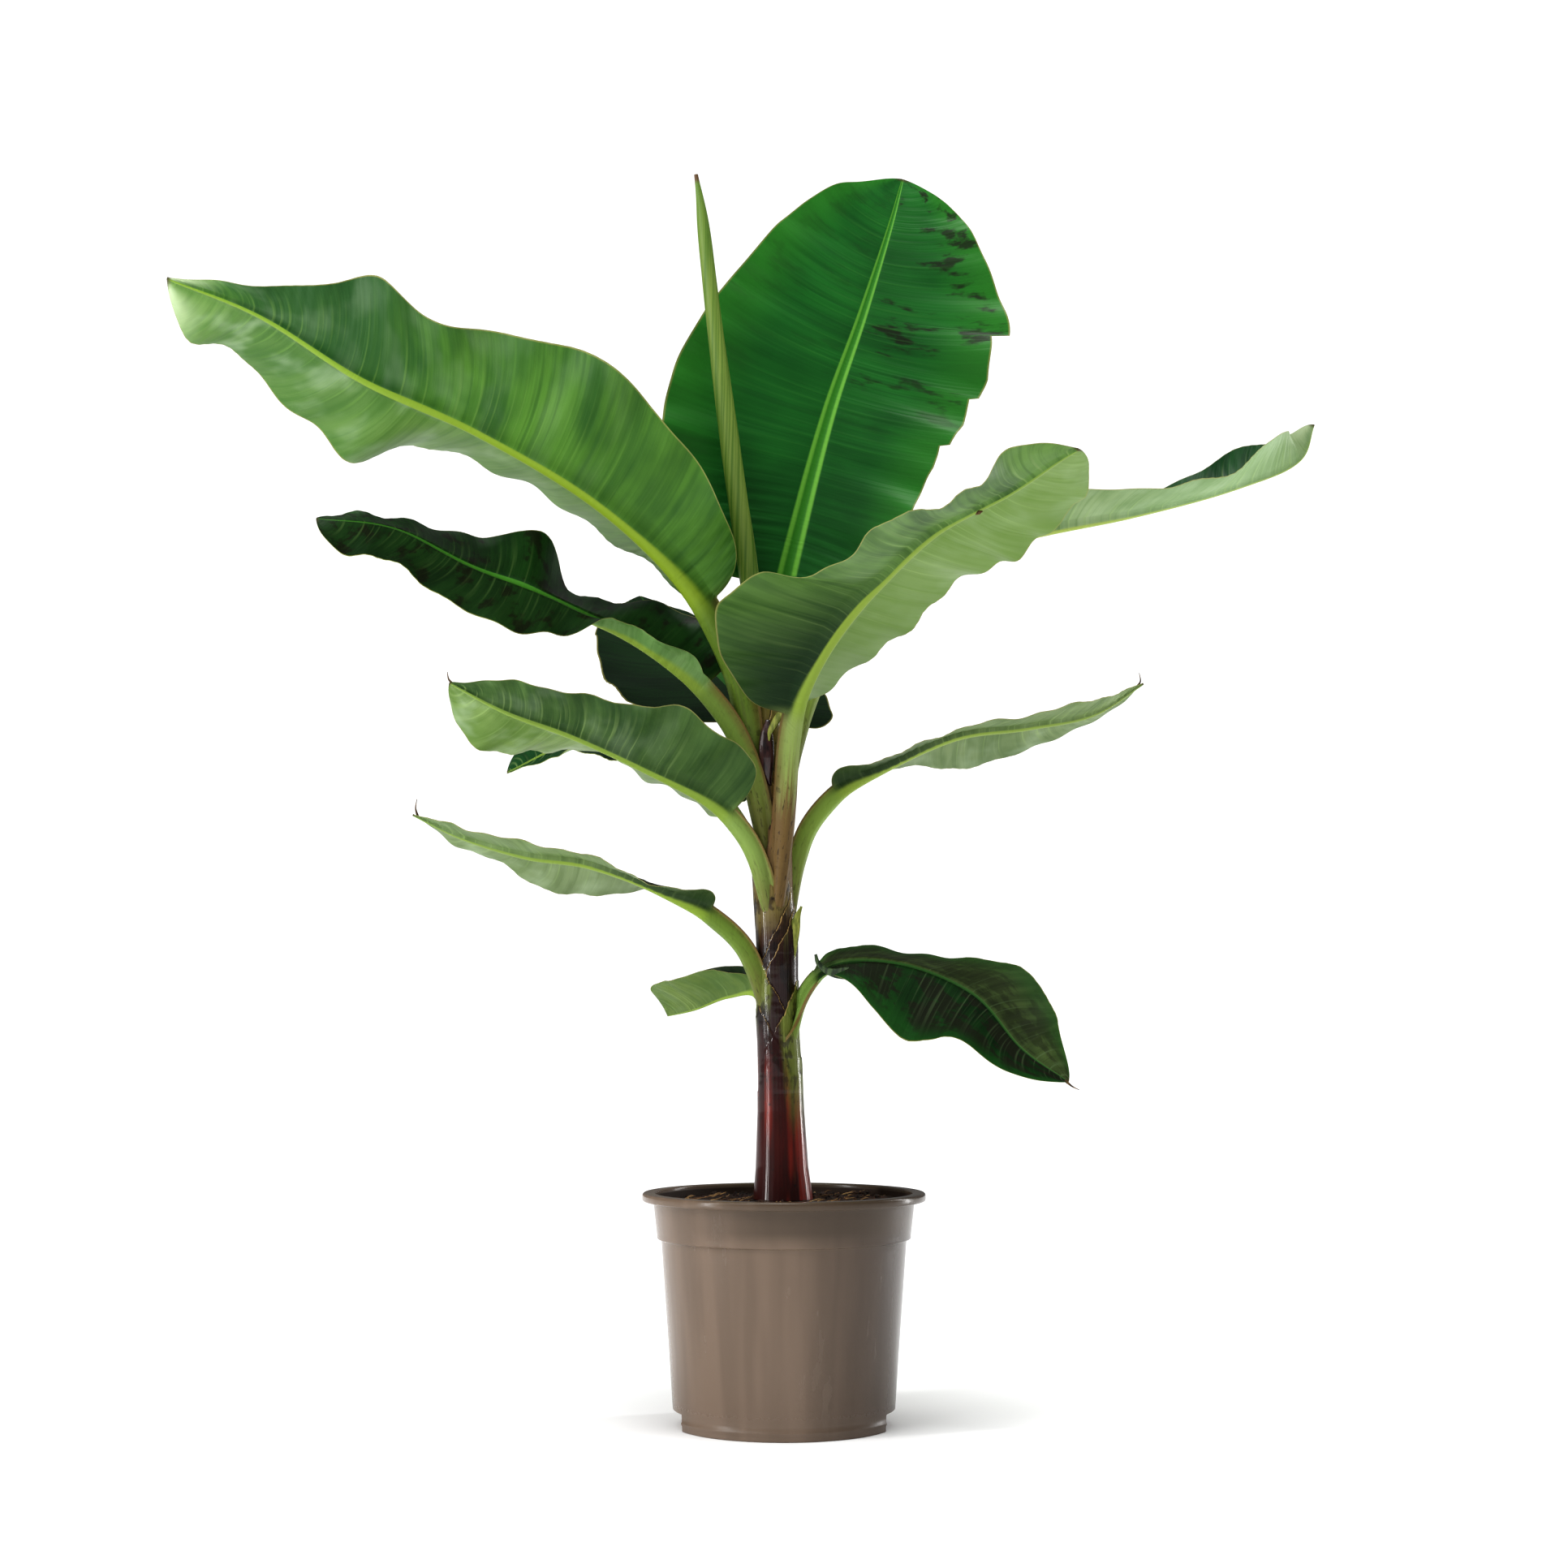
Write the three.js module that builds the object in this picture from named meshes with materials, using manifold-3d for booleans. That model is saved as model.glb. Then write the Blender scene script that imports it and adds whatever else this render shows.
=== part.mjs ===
// A young banana plant in a round nursery pot, in millimetres, +Z up.
// The origin is the centre of the pot's flat underside. +X is to the right and +Y to the back.

import * as THREE from 'three';
import { mergeVertices } from 'three/addons/utils/BufferGeometryUtils.js';
import Module from 'manifold-3d';

const wasm = await Module();
wasm.setup();

// Pot: a 24 cm moulded plastic nursery pot
const POT_HEIGHT = 194;
const POT_WALL = 2.4;
const POT_FLOOR = 4;
const LIP_RADIUS = 120;
const LIP_HEIGHT = 7;
const COLLAR_TOP_RADIUS = 111;
const COLLAR_FOOT_RADIUS = 107.5;
const COLLAR_HEIGHT = 36;
const BODY_TOP_RADIUS = 103.7;
const FOOT_RADIUS = 93;
const FOOT_RING_HEIGHT = 12;
const NOTCH_HEIGHT = 14;
const NOTCH_DEPTH = 9;
const NOTCH_HALF_ANGLE = 24;
const NOTCH_WALL_ANGLE = 2;
const STEP_HEIGHT = 3;
const EDGE_ROUND = 1;
const POT_SIDES = 64;

// Earth in the pot, and the gap that touching pieces keep
const GAP = 0.3;
const SOIL_TOP = 184;
const SOIL_CROWN = 4;
const SOIL_CROWN_RADIUS = 50;
const SOIL_EDGE_RADIUS = 96;
const SOIL_EDGE_DROP = 4;
const SOIL_SHOULDER = 2;

// Pseudostem: [height, radius, across, depth] from the flat cut at the earth to its top
const STEM_PROFILE = [
  [SOIL_TOP + SOIL_CROWN + GAP, 25.4, -1, 0],
  [215, 22.4, -1.8, 0],
  [262, 19.9, -2.6, 0],
  [320, 18.7, -4, 0],
  [390, 18, -6.5, 0],
  [460, 17.4, -8.5, 0],
  [530, 15, -11, 0],
  [585, 12, -13, 0],
  [612, 7, -15, 0],
];
const STEM_SIDES = 20;
const STEM_RINGS = 22;
const SHEATH_STEP = 1.2;
const SHEATH_EDGES = 2;
const SHEATH_PITCH = 300;

// The eye that the leaves' places were judged from: across, depth, height
const EYE = new THREE.Vector3(0, -2250, 356);

// Leaves: thickness of the blade as a share of the whole leaf's length, and of the stalk's two
// edges. The midrib tapers from the stalk's radius to RIB_END. Its keel and its groove are told
// in rib radii. Over THICKNESS_FADE, a share of the blade, the stalk's thickness becomes the blade's.
const BLADE_THICKNESS = 0.01;
const STALK_THICKNESS = 3;
const THICKNESS_FADE = 0.1;
const STALK_WING = 3;
const RIB_END = 2;
const RIB_TAPER = 0.8;
const RIB_DEPTH = 1.25;
const GROOVE_DEPTH = 0.35;
const TIP_FULLNESS = 0.7;

// Foot of a stalk: thinner, wider, and bent round the stem that it clasps. Lengths are shares of
// the stalk, the first from its foot up and the others from the blade down.
const FOOT_LENGTH = 0.6;
const FOOT_RADIUS_SHARE = 0.5;
const FOOT_WIDTH = 6;
const CLASP_ANGLE = 66;
const CLASP_CURL = 40;
const CLASP_STARTS = 0.3;
const CLASP_FULL = 0.9;

const STALK_RINGS = 6;
const BLADE_RINGS = 18;
const RING_CROWDING = 0.06;

// Faces narrower than this, which the cuts leave along their edges, melt into their neighbours
const SLIVER = 0.03;

// Each leaf runs from its foot on the stem to its tip. In rib, a point is [across, height, depth]:
// across and height are where it shows in the plane of the stem, and depth moves it back along
// the sight line. The blade's two halves, a and b, have widths and angles evenly spaced from its
// base to its tip, and a curl that cups them. Angles turn round the rib from 0 (towards the eye)
// through 90 (up the picture) to 180 (away), or from facing where that is given. The leaf's upper
// side lies between a and b. Base and tip say where its ends begin to round, sweep how far the
// margins lie behind or ahead of the rib.
const LEAVES = {
  leaf_upright: {
    hand: 1, bladeFrom: 0.34, stalk: 9, color: 0x24702c,
    rib: [[-12, 500, 6], [-12, 600, 10], [-6, 680, 14], [15, 774, 24], [40, 868, 40], [68, 950, 60],
      [92, 1027, 84], [104, 1072, 100]],
    a: {
      width: [88, 90, 92, 95, 99, 112, 120, 126, 135, 120, 109, 106, 98],
      angle: [-78, -80, -82, -82, -80], curl: 10,
    },
    b: {
      width: [125, 126, 130, 138, 141, 142, 135, 124, 114, 107, 100, 97, 80],
      angle: [78, 80, 82, 82, 80], curl: 10,
    },
    base: 0.14, tip: 0.5, blunt: 3, sweep: [-0.35, 0.3],
  },
  leaf_upper_left: {
    hand: -1, bladeFrom: 0.30, stalk: 11, color: 0x6f9a4c,
    rib: [[-12, 480, -2], [-25, 559, -2], [-42, 640, -12], [-84, 716, -34], [-160, 788, -62],
      [-264, 850, -96], [-364, 895, -126], [-455, 951, -148], [-538, 984, -162]],
    a: {
      width: [76, 70, 82, 93, 110, 98, 81, 75, 88, 57, 31, 18, 8],
      angle: [70, 66, 64, 62, 64], curl: 10,
    },
    b: {
      width: [60, 70, 80, 84, 86, 88, 88, 93, 81, 84, 71, 84, 85],
      angle: [198, 194, 192, 197, 198, 195, 204, 228, 219, 217, 216, 219, 222], curl: 10,
    },
    base: 0.14, tip: 0.55, blunt: 5, sweep: [-0.05, 0.4],
  },
  leaf_front_right: {
    hand: 1, bladeFrom: 0.32, stalk: 8.4, color: 0x5f8a48,
    rib: [[-6, 430, -10], [0, 500, -18], [7, 590, -28], [29, 650, -46], [72, 708, -80], [130, 762, -124],
      [195, 796, -168], [238, 823, -200], [256, 833, -214]],
    a: {
      width: [60, 64, 90, 108, 98, 86, 78, 77, 70, 64, 66, 62, 50],
      angle: [72, 66, 60, 58, 50, 23, 24, 24, 8, 15, 24, 38, 40], curl: 10,
    },
    b: {
      width: [56, 66, 78, 82, 84, 85, 84, 84, 80, 73, 74, 70, 66],
      angle: [190, 190, 203, 215, 213, 213, 220, 219, 219, 221, 212, 210, 210], curl: 10,
    },
    base: 0.14, tip: 0.64, blunt: 2.6, sweep: [-0.4, 0.32],
  },
  leaf_left: {
    hand: -1, bladeFrom: 0.30, stalk: 9, color: 0x2a5228,
    rib: [[-14, 480, -8], [-32, 559, -16], [-62, 612, -22], [-116, 659, -28], [-189, 700, -38],
      [-269, 731, -50], [-337, 764, -60], [-405, 772, -66]],
    a: {
      width: [14, 18, 12, 10, 27, 45, 60, 51, 45, 44, 45, 54, 60],
      angle: [75, 72, 60, 30, -35, -42, -45, -45, -45, -45, -42, -40, -40], curl: 10,
    },
    b: {
      width: [50, 60, 59, 64, 62, 65, 64, 60, 54, 44, 28, 34, 34],
      angle: [125, 127, 131, 145, 169, 168, 129, 151, 156, 161, 171, 161, 161], curl: 10,
    },
    base: 0.1, tip: 0.6, blunt: 4, sweep: [-0.45, 0.3],
  },
  leaf_back: {
    hand: -1, facing: [0, 0, 1], bladeFrom: 0.26, stalk: 9, color: 0x1f4a26,
    rib: [[-10, 490, 8], [-14, 560, 24], [-26, 604, 62], [-50, 632, 124], [-80, 656, 200],
      [-106, 682, 276], [-124, 704, 346]],
    a: { width: [94, 116, 114, 97, 76, 52, 30], angle: [-94, -92, -88, -84, -80], curl: 12 },
    b: { width: [66, 90, 104, 98, 86, 70, 52], angle: [100, 98, 96, 96, 98], curl: 12 },
    base: 0.16, tip: 0.5, blunt: 2.4, sweep: [-0.3, 0.3],
  },
  leaf_back_right: {
    hand: 1, bladeFrom: 0.30, stalk: 8.5, color: 0x5a8a4c,
    rib: [[-4, 490, 8], [8, 574, 22], [36, 650, 46], [98, 720, 88], [192, 754, 140], [300, 776, 186],
      [397, 801, 216], [446, 822, 226], [460, 854, 228]],
    a: {
      width: [40, 44, 48, 47, 46, 45, 44, 45, 46, 49, 52, 53, 54],
      angle: [40, 38, 34, 34, 34, 38, 40, 27, 17, 19, 50, 58, 62], curl: 10,
    },
    b: {
      width: [40, 46, 52, 54, 56, 55, 54, 52, 50, 48, 46, 43, 40],
      angle: [172, 172, 172, 170, 168, 164, 162, 160, 160, 157, 134, 120, 118], curl: 10,
    },
    base: 0.14, tip: 0.66, blunt: 2.6, sweep: [-0.3, 0.35],
  },
  leaf_middle_right: {
    hand: 1, bladeFrom: 0.32, stalk: 7, color: 0x7fa060,
    rib: [[-1, 400, 2], [11, 473, 4], [31, 516, 8], [74, 551, 20], [145, 584, 42], [209, 592, 60],
      [265, 602, 74], [309, 628, 82]],
    a: { width: [24, 26, 29, 31, 34, 26, 10], angle: [75, 10, 6, 10, 20, 24, 20], curl: 8 },
    b: { width: [24, 34, 40, 51, 28, 17, 10], angle: [164, 182, 214, 222, 210, 200], curl: 8 },
    base: 0.12, tip: 0.7, blunt: 2.4, sweep: [-0.55, 0.4],
  },
  leaf_middle_left: {
    hand: -1, bladeFrom: 0.28, stalk: 7, color: 0x5d8547,
    rib: [[-10, 420, -8], [-27, 485, -18], [-62, 525, -32], [-122, 557, -60], [-180, 583, -86],
      [-239, 604, -108], [-288, 629, -122]],
    a: {
      width: [42, 50, 57, 58, 65, 55, 45, 39, 34, 33, 28, 21, 12],
      angle: [70, 66, 62, 62, 60], curl: 10,
    },
    b: {
      width: [40, 46, 52, 54, 55, 53, 52, 50, 48, 47, 47, 46, 42],
      angle: [190, 190, 191, 188, 184, 186, 192, 204, 221, 228, 232, 228, 225], curl: 10,
    },
    base: 0.1, tip: 0.7, blunt: 2.4, sweep: [-0.3, 0.35],
  },
  leaf_hidden_left: {
    hand: -1, bladeFrom: 0.30, stalk: 7, color: 0x24452a,
    rib: [[-10, 430, 8], [-24, 490, 22], [-60, 540, 60], [-116, 566, 120], [-180, 576, 170],
      [-238, 551, 206]],
    a: { width: [36, 44, 44, 36, 16, 10], angle: [-10, -12, -16, -20, -30], curl: 10 },
    b: { width: [40, 50, 50, 44, 40, 36], angle: [166, 162, 158, 150, 130], curl: 10 },
    base: 0.14, tip: 0.6, blunt: 3.5, sweep: [-0.3, 0.3],
  },
  leaf_lower_left: {
    hand: -1, bladeFrom: 0.34, stalk: 7, color: 0x7fa060,
    rib: [[-6, 310, -2], [-22, 373, -6], [-46, 413, -10], [-105, 452, -16], [-164, 474, -22],
      [-220, 481, -26], [-275, 496, -28], [-318, 515, -28]],
    a: { width: [26, 28, 34, 29, 32, 26, 10], angle: [75, 10, 0, 15, 16, 16, 16], curl: 8 },
    b: { width: [24, 34, 45, 48, 22, 19, 10], angle: [164, 182, 214, 222, 210, 200], curl: 8 },
    base: 0.12, tip: 0.7, blunt: 2.4, sweep: [-0.55, 0.4],
  },
  leaf_lower_right: {
    hand: 1, bladeFrom: 0.26, stalk: 6.5, color: 0x22401f,
    rib: [[2, 290, -4], [8, 351, -12], [39, 388, -30], [100, 389, -62], [162, 362, -96], [202, 316, -118],
      [242, 287, -130]],
    a: { width: [8, 20, 47, 63, 40, 28, 20], angle: [-60, -66, -72, -76, -76], curl: 8 },
    b: {
      width: [30, 40, 48, 52, 54, 51, 50, 60, 56, 49, 45, 40, 36],
      angle: [166, 170, 164, 136, 114, 110], curl: 8,
    },
    base: 0.14, tip: 0.6, blunt: 2.4, sweep: [-0.4, 0.3],
  },
  leaf_small_back_left: {
    hand: -1, bladeFrom: 0.28, stalk: 5, color: 0x7d9f6c,
    rib: [[-8, 320, 6], [-22, 360, 18], [-48, 360, 44], [-76, 349, 74], [-99, 343, 100]],
    a: { width: [12, 20, 29, 33, 32, 30], angle: [76, 74, 72, 72, 72], curl: 8 },
    b: { width: [16, 24, 28, 30, 30, 28], angle: [112, 108, 106, 104, 104], curl: 8 },
    base: 0.14, tip: 0.7, blunt: 4, sweep: [-0.2, 0.8],
  },
};

// Rolled young leaf that stands in the heart of the crown: points like a rib's, and radii
const SPEAR_RUN = [[-15, 604, 0], [-30, 718, -4], [-46, 833, -8], [-60.3, 942, -12], [-71.4, 1039, -14],
  [-77, 1076, -14]];
const SPEAR_RADII = [6, 7.4, 8.2, 8.6, 8.8, 8.6, 7.9, 6.9, 6.2, 5.3, 1.8];
const SPEAR_SIDES = 12;
const SPEAR_RINGS = 20;
const SPEAR_OVERLAP = 0.12;
const SPEAR_TWIST = 0.8;

const RADIANS = Math.PI / 180;

/** A point given by where it shows in the plane of the stem, moved back by depth. */
function seen([across, height, depth]) {
  const shown = new THREE.Vector3(across, 0, height);
  return shown.sub(EYE).multiplyScalar(1 - depth / EYE.y).add(EYE);
}

/** The value at t of a smooth line through evenly spaced values, t from 0 to 1. */
function along(values, t) {
  const last = values.length - 1;
  const place = THREE.MathUtils.clamp(t, 0, 1) * last;
  const i = Math.min(Math.floor(place), last - 1);
  const f = place - i;
  const [before, from, to, after] = [values[Math.max(i - 1, 0)], values[i], values[i + 1],
    values[Math.min(i + 2, last)]];
  const slope0 = (to - before) / 2;
  const slope1 = (after - from) / 2;
  return from + f * (slope0 + f * (3 * (to - from) - 2 * slope0 - slope1
    + f * (slope0 + slope1 - 2 * (to - from))));
}

/** A closed body from equal rings of points, its two ends closed by strips from side to side. */
function loft(rings) {
  const count = rings[0].length;
  const points = rings.flat();
  const faces = [];
  for (let r = 0; r + 1 < rings.length; r++) {
    for (let k = 0; k < count; k++) {
      const here = r * count + k;
      const next = r * count + (k + 1) % count;
      faces.push(here, next, next + count, here, next + count, here + count);
    }
  }
  const lastRing = (rings.length - 1) * count;
  for (let k = 0; k + 1 < count / 2; k++) {
    const [a, b, c, d] = [k, k + 1, count - 2 - k, count - 1 - k];
    faces.push(a, c, b, a, d, c);
    faces.push(...[a, b, c, a, c, d].map((point) => lastRing + point));
  }
  return solidFrom(points, faces);
}

/** Points and faces as a geometry whose faces point out. */
function solidFrom(points, faces) {
  let volume = 0;
  for (let f = 0; f < faces.length; f += 3) {
    volume += points[faces[f]].dot(points[faces[f + 1]].clone().cross(points[faces[f + 2]]));
  }
  const geometry = new THREE.BufferGeometry();
  geometry.setFromPoints(points);
  geometry.setIndex(volume < 0 ? faces.slice().reverse() : faces);
  return geometry;
}

/** A geometry as a solid that can be cut. */
function toSolid(geometry) {
  const bare = geometry.clone();
  bare.deleteAttribute('normal');
  bare.deleteAttribute('uv');
  const merged = mergeVertices(bare);
  return new wasm.Manifold(new wasm.Mesh({
    numProp: 3,
    vertProperties: new Float32Array(merged.attributes.position.array),
    triVerts: new Uint32Array(merged.index.array),
  }));
}

/** The largest body of a cut solid, rid of its slivers, as a geometry. */
function toGeometry(solid) {
  const bodies = solid.decompose().sort((p, q) => q.volume() - p.volume());
  const mesh = bodies[0].simplify(SLIVER).getMesh();
  const geometry = new THREE.BufferGeometry();
  geometry.setAttribute('position', new THREE.BufferAttribute(mesh.vertProperties, 3));
  geometry.setIndex(new THREE.BufferAttribute(mesh.triVerts, 1));
  return geometry;
}

/** The stem's middle and radius at a height. */
function stemAt(height) {
  const last = STEM_PROFILE.length - 1;
  const high = THREE.MathUtils.clamp(STEM_PROFILE.findIndex((row) => row[0] >= height), 1, last);
  const [from, to] = [STEM_PROFILE[high - 1], STEM_PROFILE[height > STEM_PROFILE[last][0] ? last : high]];
  const f = THREE.MathUtils.clamp((height - from[0]) / (to[0] - from[0] || 1), 0, 1);
  const [, radius, x, y] = from.map((value, i) => value + f * (to[i] - value));
  return { radius, middle: new THREE.Vector3(x, y, height) };
}

/** The pseudostem, its overlapping leaf sheaths told as a shallow step that winds upwards. */
function stem(grow) {
  const [low, high] = [STEM_PROFILE[0][0], STEM_PROFILE.at(-1)[0]];
  const rings = [];
  for (let r = 0; r < STEM_RINGS; r++) {
    const height = low - grow + (high - low + 2 * grow) * r / (STEM_RINGS - 1);
    const { radius, middle } = stemAt(height);
    const ring = [];
    for (let k = 0; k < STEM_SIDES; k++) {
      const turn = k / STEM_SIDES;
      const step = (SHEATH_EDGES * turn + height / SHEATH_PITCH) % 1 - 0.5;
      const reach = radius + SHEATH_STEP * step + grow;
      const angle = turn * 2 * Math.PI;
      ring.push(new THREE.Vector3(Math.cos(angle) * reach, Math.sin(angle) * reach, 0).add(middle));
    }
    rings.push(ring);
  }
  return loft(rings);
}

/** The frame round a leaf's rib: along it, towards the eye and up the picture. */
function ribFrame(curve, s, hand, facing) {
  const point = curve.getPointAt(s);
  const run = curve.getTangentAt(s);
  const toEye = facing ? new THREE.Vector3(...facing) : EYE.clone().sub(point).normalize();
  toEye.addScaledVector(run, -toEye.dot(run)).normalize();
  const up = toEye.clone().cross(run).multiplyScalar(hand);
  return { point, run, toEye, up };
}

/** The direction at an angle round the rib. */
function around(frame, degrees) {
  return frame.toEye.clone().multiplyScalar(Math.cos(degrees * RADIANS))
    .addScaledVector(frame.up, Math.sin(degrees * RADIANS));
}

/** How round a leaf's two ends are: 0 at each end, 1 between. */
function endRounding(t, { base, tip, blunt }) {
  const nearBase = 1 - Math.min(t / base, 1);
  const nearTip = Math.max((t - tip) / (1 - tip), 0);
  return Math.sqrt(Math.max(1 - nearBase ** 2, 0)) * Math.max(1 - nearTip ** blunt, 0) ** TIP_FULLNESS;
}

/** The fractions of a leaf's length at which its rings stand, closer at the blade's two ends. */
function ringPlaces(bladeFrom) {
  const places = [];
  for (let r = 0; r < STALK_RINGS; r++) places.push(bladeFrom * r / STALK_RINGS);
  for (let r = 0; r < BLADE_RINGS; r++) {
    const even = r / (BLADE_RINGS - 1);
    const t = even - RING_CROWDING * Math.sin(2 * Math.PI * even);
    places.push(bladeFrom + (1 - bladeFrom) * t);
  }
  return places;
}

/** One leaf: stalk, raised midrib and two half blades, as one ring swept from foot to tip. */
function leaf(spec, grow) {
  const curve = new THREE.CatmullRomCurve3(spec.rib.map(seen), false, 'catmullrom', 0.5);
  const bladeThick = curve.getLength() * BLADE_THICKNESS;
  return loft(ringPlaces(spec.bladeFrom).map((s) => leafRing(spec, curve, s, bladeThick, grow)));
}

/** What both halves of a leaf share at the fraction s of its length. */
function leafPlace(spec, curve, s) {
  const frame = ribFrame(curve, s, spec.hand, spec.facing);
  const t = (s - spec.bladeFrom) / (1 - spec.bladeFrom);
  const foot = Math.max(1 - s / (FOOT_LENGTH * spec.bladeFrom), 0);
  const stalkRadius = spec.stalk * (1 - (1 - FOOT_RADIUS_SHARE) * foot);
  const ribRadius = t < 0 ? stalkRadius : spec.stalk * (1 - t) ** RIB_TAPER + RIB_END * t;
  const rounding = t > 0 ? endRounding(t, spec) : 0;
  const sweep = THREE.MathUtils.lerp(spec.sweep[0], spec.sweep[1], Math.max(t, 0));
  const toStem = stemAt(frame.point.z).middle.sub(frame.point);
  const stemAngle = Math.atan2(toStem.dot(frame.up), toStem.dot(frame.toEye)) / RADIANS;
  const middleAngle = (along(spec.a.angle, t) + along(spec.b.angle, t)) / 2;
  const claspAngle = stemAngle + 360 * Math.round((middleAngle - stemAngle) / 360);
  const clasp = THREE.MathUtils.smoothstep(1 - s / spec.bladeFrom, CLASP_STARTS, CLASP_FULL);
  return { frame, t, foot, ribRadius, rounding, sweep, claspAngle, clasp };
}

/** One half of a leaf at one place: its angle and width, and its surface at a distance out. */
function halfBlade(half, turn, place, grow) {
  const { frame, t, foot, ribRadius, rounding, sweep, claspAngle, clasp } = place;
  const angle = THREE.MathUtils.lerp(along(half.angle, t), claspAngle - turn * CLASP_ANGLE, clasp);
  const curl = half.curl + clasp * CLASP_CURL;
  const stalkWidth = ribRadius + STALK_WING + FOOT_WIDTH * foot;
  const width = Math.max(along(half.width, t) * rounding, stalkWidth) + grow;
  const steps = 4;
  const surface = (distance) => {
    const point = frame.point.clone();
    for (let i = 0; i < steps; i++) {
      const share = (i + 0.5) / steps * distance / width;
      point.addScaledVector(around(frame, angle + turn * curl * (share - 0.5)), distance / steps);
    }
    return point.addScaledVector(frame.run, sweep * rounding * width * (distance / width) ** 1.5);
  };
  const above = (distance) => {
    const lean = curl * (distance / width - 0.5);
    return around(frame, angle + turn * (90 + lean));
  };
  const distances = [width, (width + ribRadius) / 2, ribRadius];
  const raised = (rise) => distances.map((d) => surface(d).addScaledVector(above(d), rise));
  return { angle, raised };
}

/** The ring of one leaf: upper face from margin to margin, then the lower face back again. */
function leafRing(spec, curve, s, bladeThick, grow) {
  const place = leafPlace(spec, curve, s);
  const { frame, t, ribRadius } = place;
  const onBlade = THREE.MathUtils.smoothstep(t, -THICKNESS_FADE, THICKNESS_FADE);
  const thick = THREE.MathUtils.lerp(STALK_THICKNESS, bladeThick, onBlade);
  const a = halfBlade(spec.a, 1, place, grow);
  const b = halfBlade(spec.b, -1, place, grow);
  const middle = around(frame, (a.angle + b.angle) / 2);
  const groove = frame.point.clone().addScaledVector(middle, -GROOVE_DEPTH * ribRadius + grow);
  const keel = frame.point.clone().addScaledVector(middle, -RIB_DEPTH * ribRadius - thick - grow);
  return [
    ...a.raised(grow), groove, ...b.raised(grow).reverse(),
    ...b.raised(-thick - grow), keel, ...a.raised(-thick - grow).reverse(),
  ];
}

/** The rolled young leaf, its outer edge told as a shallow step that winds upwards. */
function spear(grow) {
  const curve = new THREE.CatmullRomCurve3(SPEAR_RUN.map(seen), false, 'catmullrom', 0.5);
  const rings = [];
  for (let r = 0; r < SPEAR_RINGS; r++) {
    const s = r / (SPEAR_RINGS - 1);
    const frame = ribFrame(curve, s, 1);
    const ring = [];
    for (let k = 0; k < SPEAR_SIDES; k++) {
      const turn = k / SPEAR_SIDES;
      const roll = 1 + SPEAR_OVERLAP * ((turn + s * SPEAR_TWIST) % 1 - 0.5);
      const reach = along(SPEAR_RADII, s) * roll + grow;
      ring.push(frame.point.clone().addScaledVector(around(frame, turn * 360), reach));
    }
    rings.push(ring);
  }
  return loft(rings);
}

/** A body turned round the upright axis from a closed section of [radius, height] points. */
function turned(section, sides) {
  const outline = section.map(([radius, height]) => new THREE.Vector2(radius, height));
  return toSolid(new THREE.LatheGeometry(outline, sides).rotateX(Math.PI / 2));
}

/** The left and right arcs of a ring: between two radii and two heights, either side of +X and -X. */
function sideArcs(inner, outer, halfAngle, low, high) {
  return [0, 180].map((facing) => {
    const [from, to] = [facing - halfAngle, facing + halfAngle].map((angle) => angle * RADIANS);
    const outline = new THREE.Shape();
    outline.absarc(0, 0, outer, from, to, false);
    outline.absarc(0, 0, inner, to, from, true);
    const settings = { depth: high - low, bevelEnabled: false, curveSegments: 10 };
    return toSolid(new THREE.ExtrudeGeometry(outline, settings).translate(0, 0, low));
  });
}

/** The walls round the notches, which stand inside the pot, grown by a gap. */
function notchWalls(gap) {
  const inner = FOOT_RADIUS - NOTCH_DEPTH - POT_WALL - gap;
  const halfAngle = NOTCH_HALF_ANGLE + NOTCH_WALL_ANGLE + gap;
  const outer = FOOT_RADIUS - EDGE_ROUND / 2;
  return sideArcs(inner, outer, halfAngle, POT_FLOOR / 2, NOTCH_HEIGHT + POT_WALL + gap);
}

/** The pot: a thin shell with a rolled lip, a stepped collar and a notch in each side of its foot. */
function pot() {
  const collarFoot = POT_HEIGHT - COLLAR_HEIGHT;
  const lipFoot = POT_HEIGHT - LIP_HEIGHT;
  let shell = turned([
    [0, 0], [FOOT_RADIUS - EDGE_ROUND, 0], [FOOT_RADIUS, EDGE_ROUND], [FOOT_RADIUS, FOOT_RING_HEIGHT],
    [BODY_TOP_RADIUS, collarFoot - STEP_HEIGHT], [COLLAR_FOOT_RADIUS, collarFoot],
    [COLLAR_TOP_RADIUS, lipFoot], [LIP_RADIUS, lipFoot],
    [LIP_RADIUS, POT_HEIGHT - EDGE_ROUND], [LIP_RADIUS - EDGE_ROUND, POT_HEIGHT],
    [COLLAR_TOP_RADIUS - POT_WALL, POT_HEIGHT], [COLLAR_FOOT_RADIUS - POT_WALL, collarFoot],
    [BODY_TOP_RADIUS - POT_WALL, collarFoot - STEP_HEIGHT], [FOOT_RADIUS - POT_WALL, FOOT_RING_HEIGHT],
    [FOOT_RADIUS - POT_WALL, POT_FLOOR], [0, POT_FLOOR],
  ], POT_SIDES);
  for (const wall of notchWalls(0)) shell = shell.add(wall);
  const reach = LIP_RADIUS;
  const notches = sideArcs(FOOT_RADIUS - NOTCH_DEPTH, reach, NOTCH_HALF_ANGLE, -1, NOTCH_HEIGHT);
  for (const notch of notches) shell = shell.subtract(notch);
  return toGeometry(shell);
}

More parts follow.
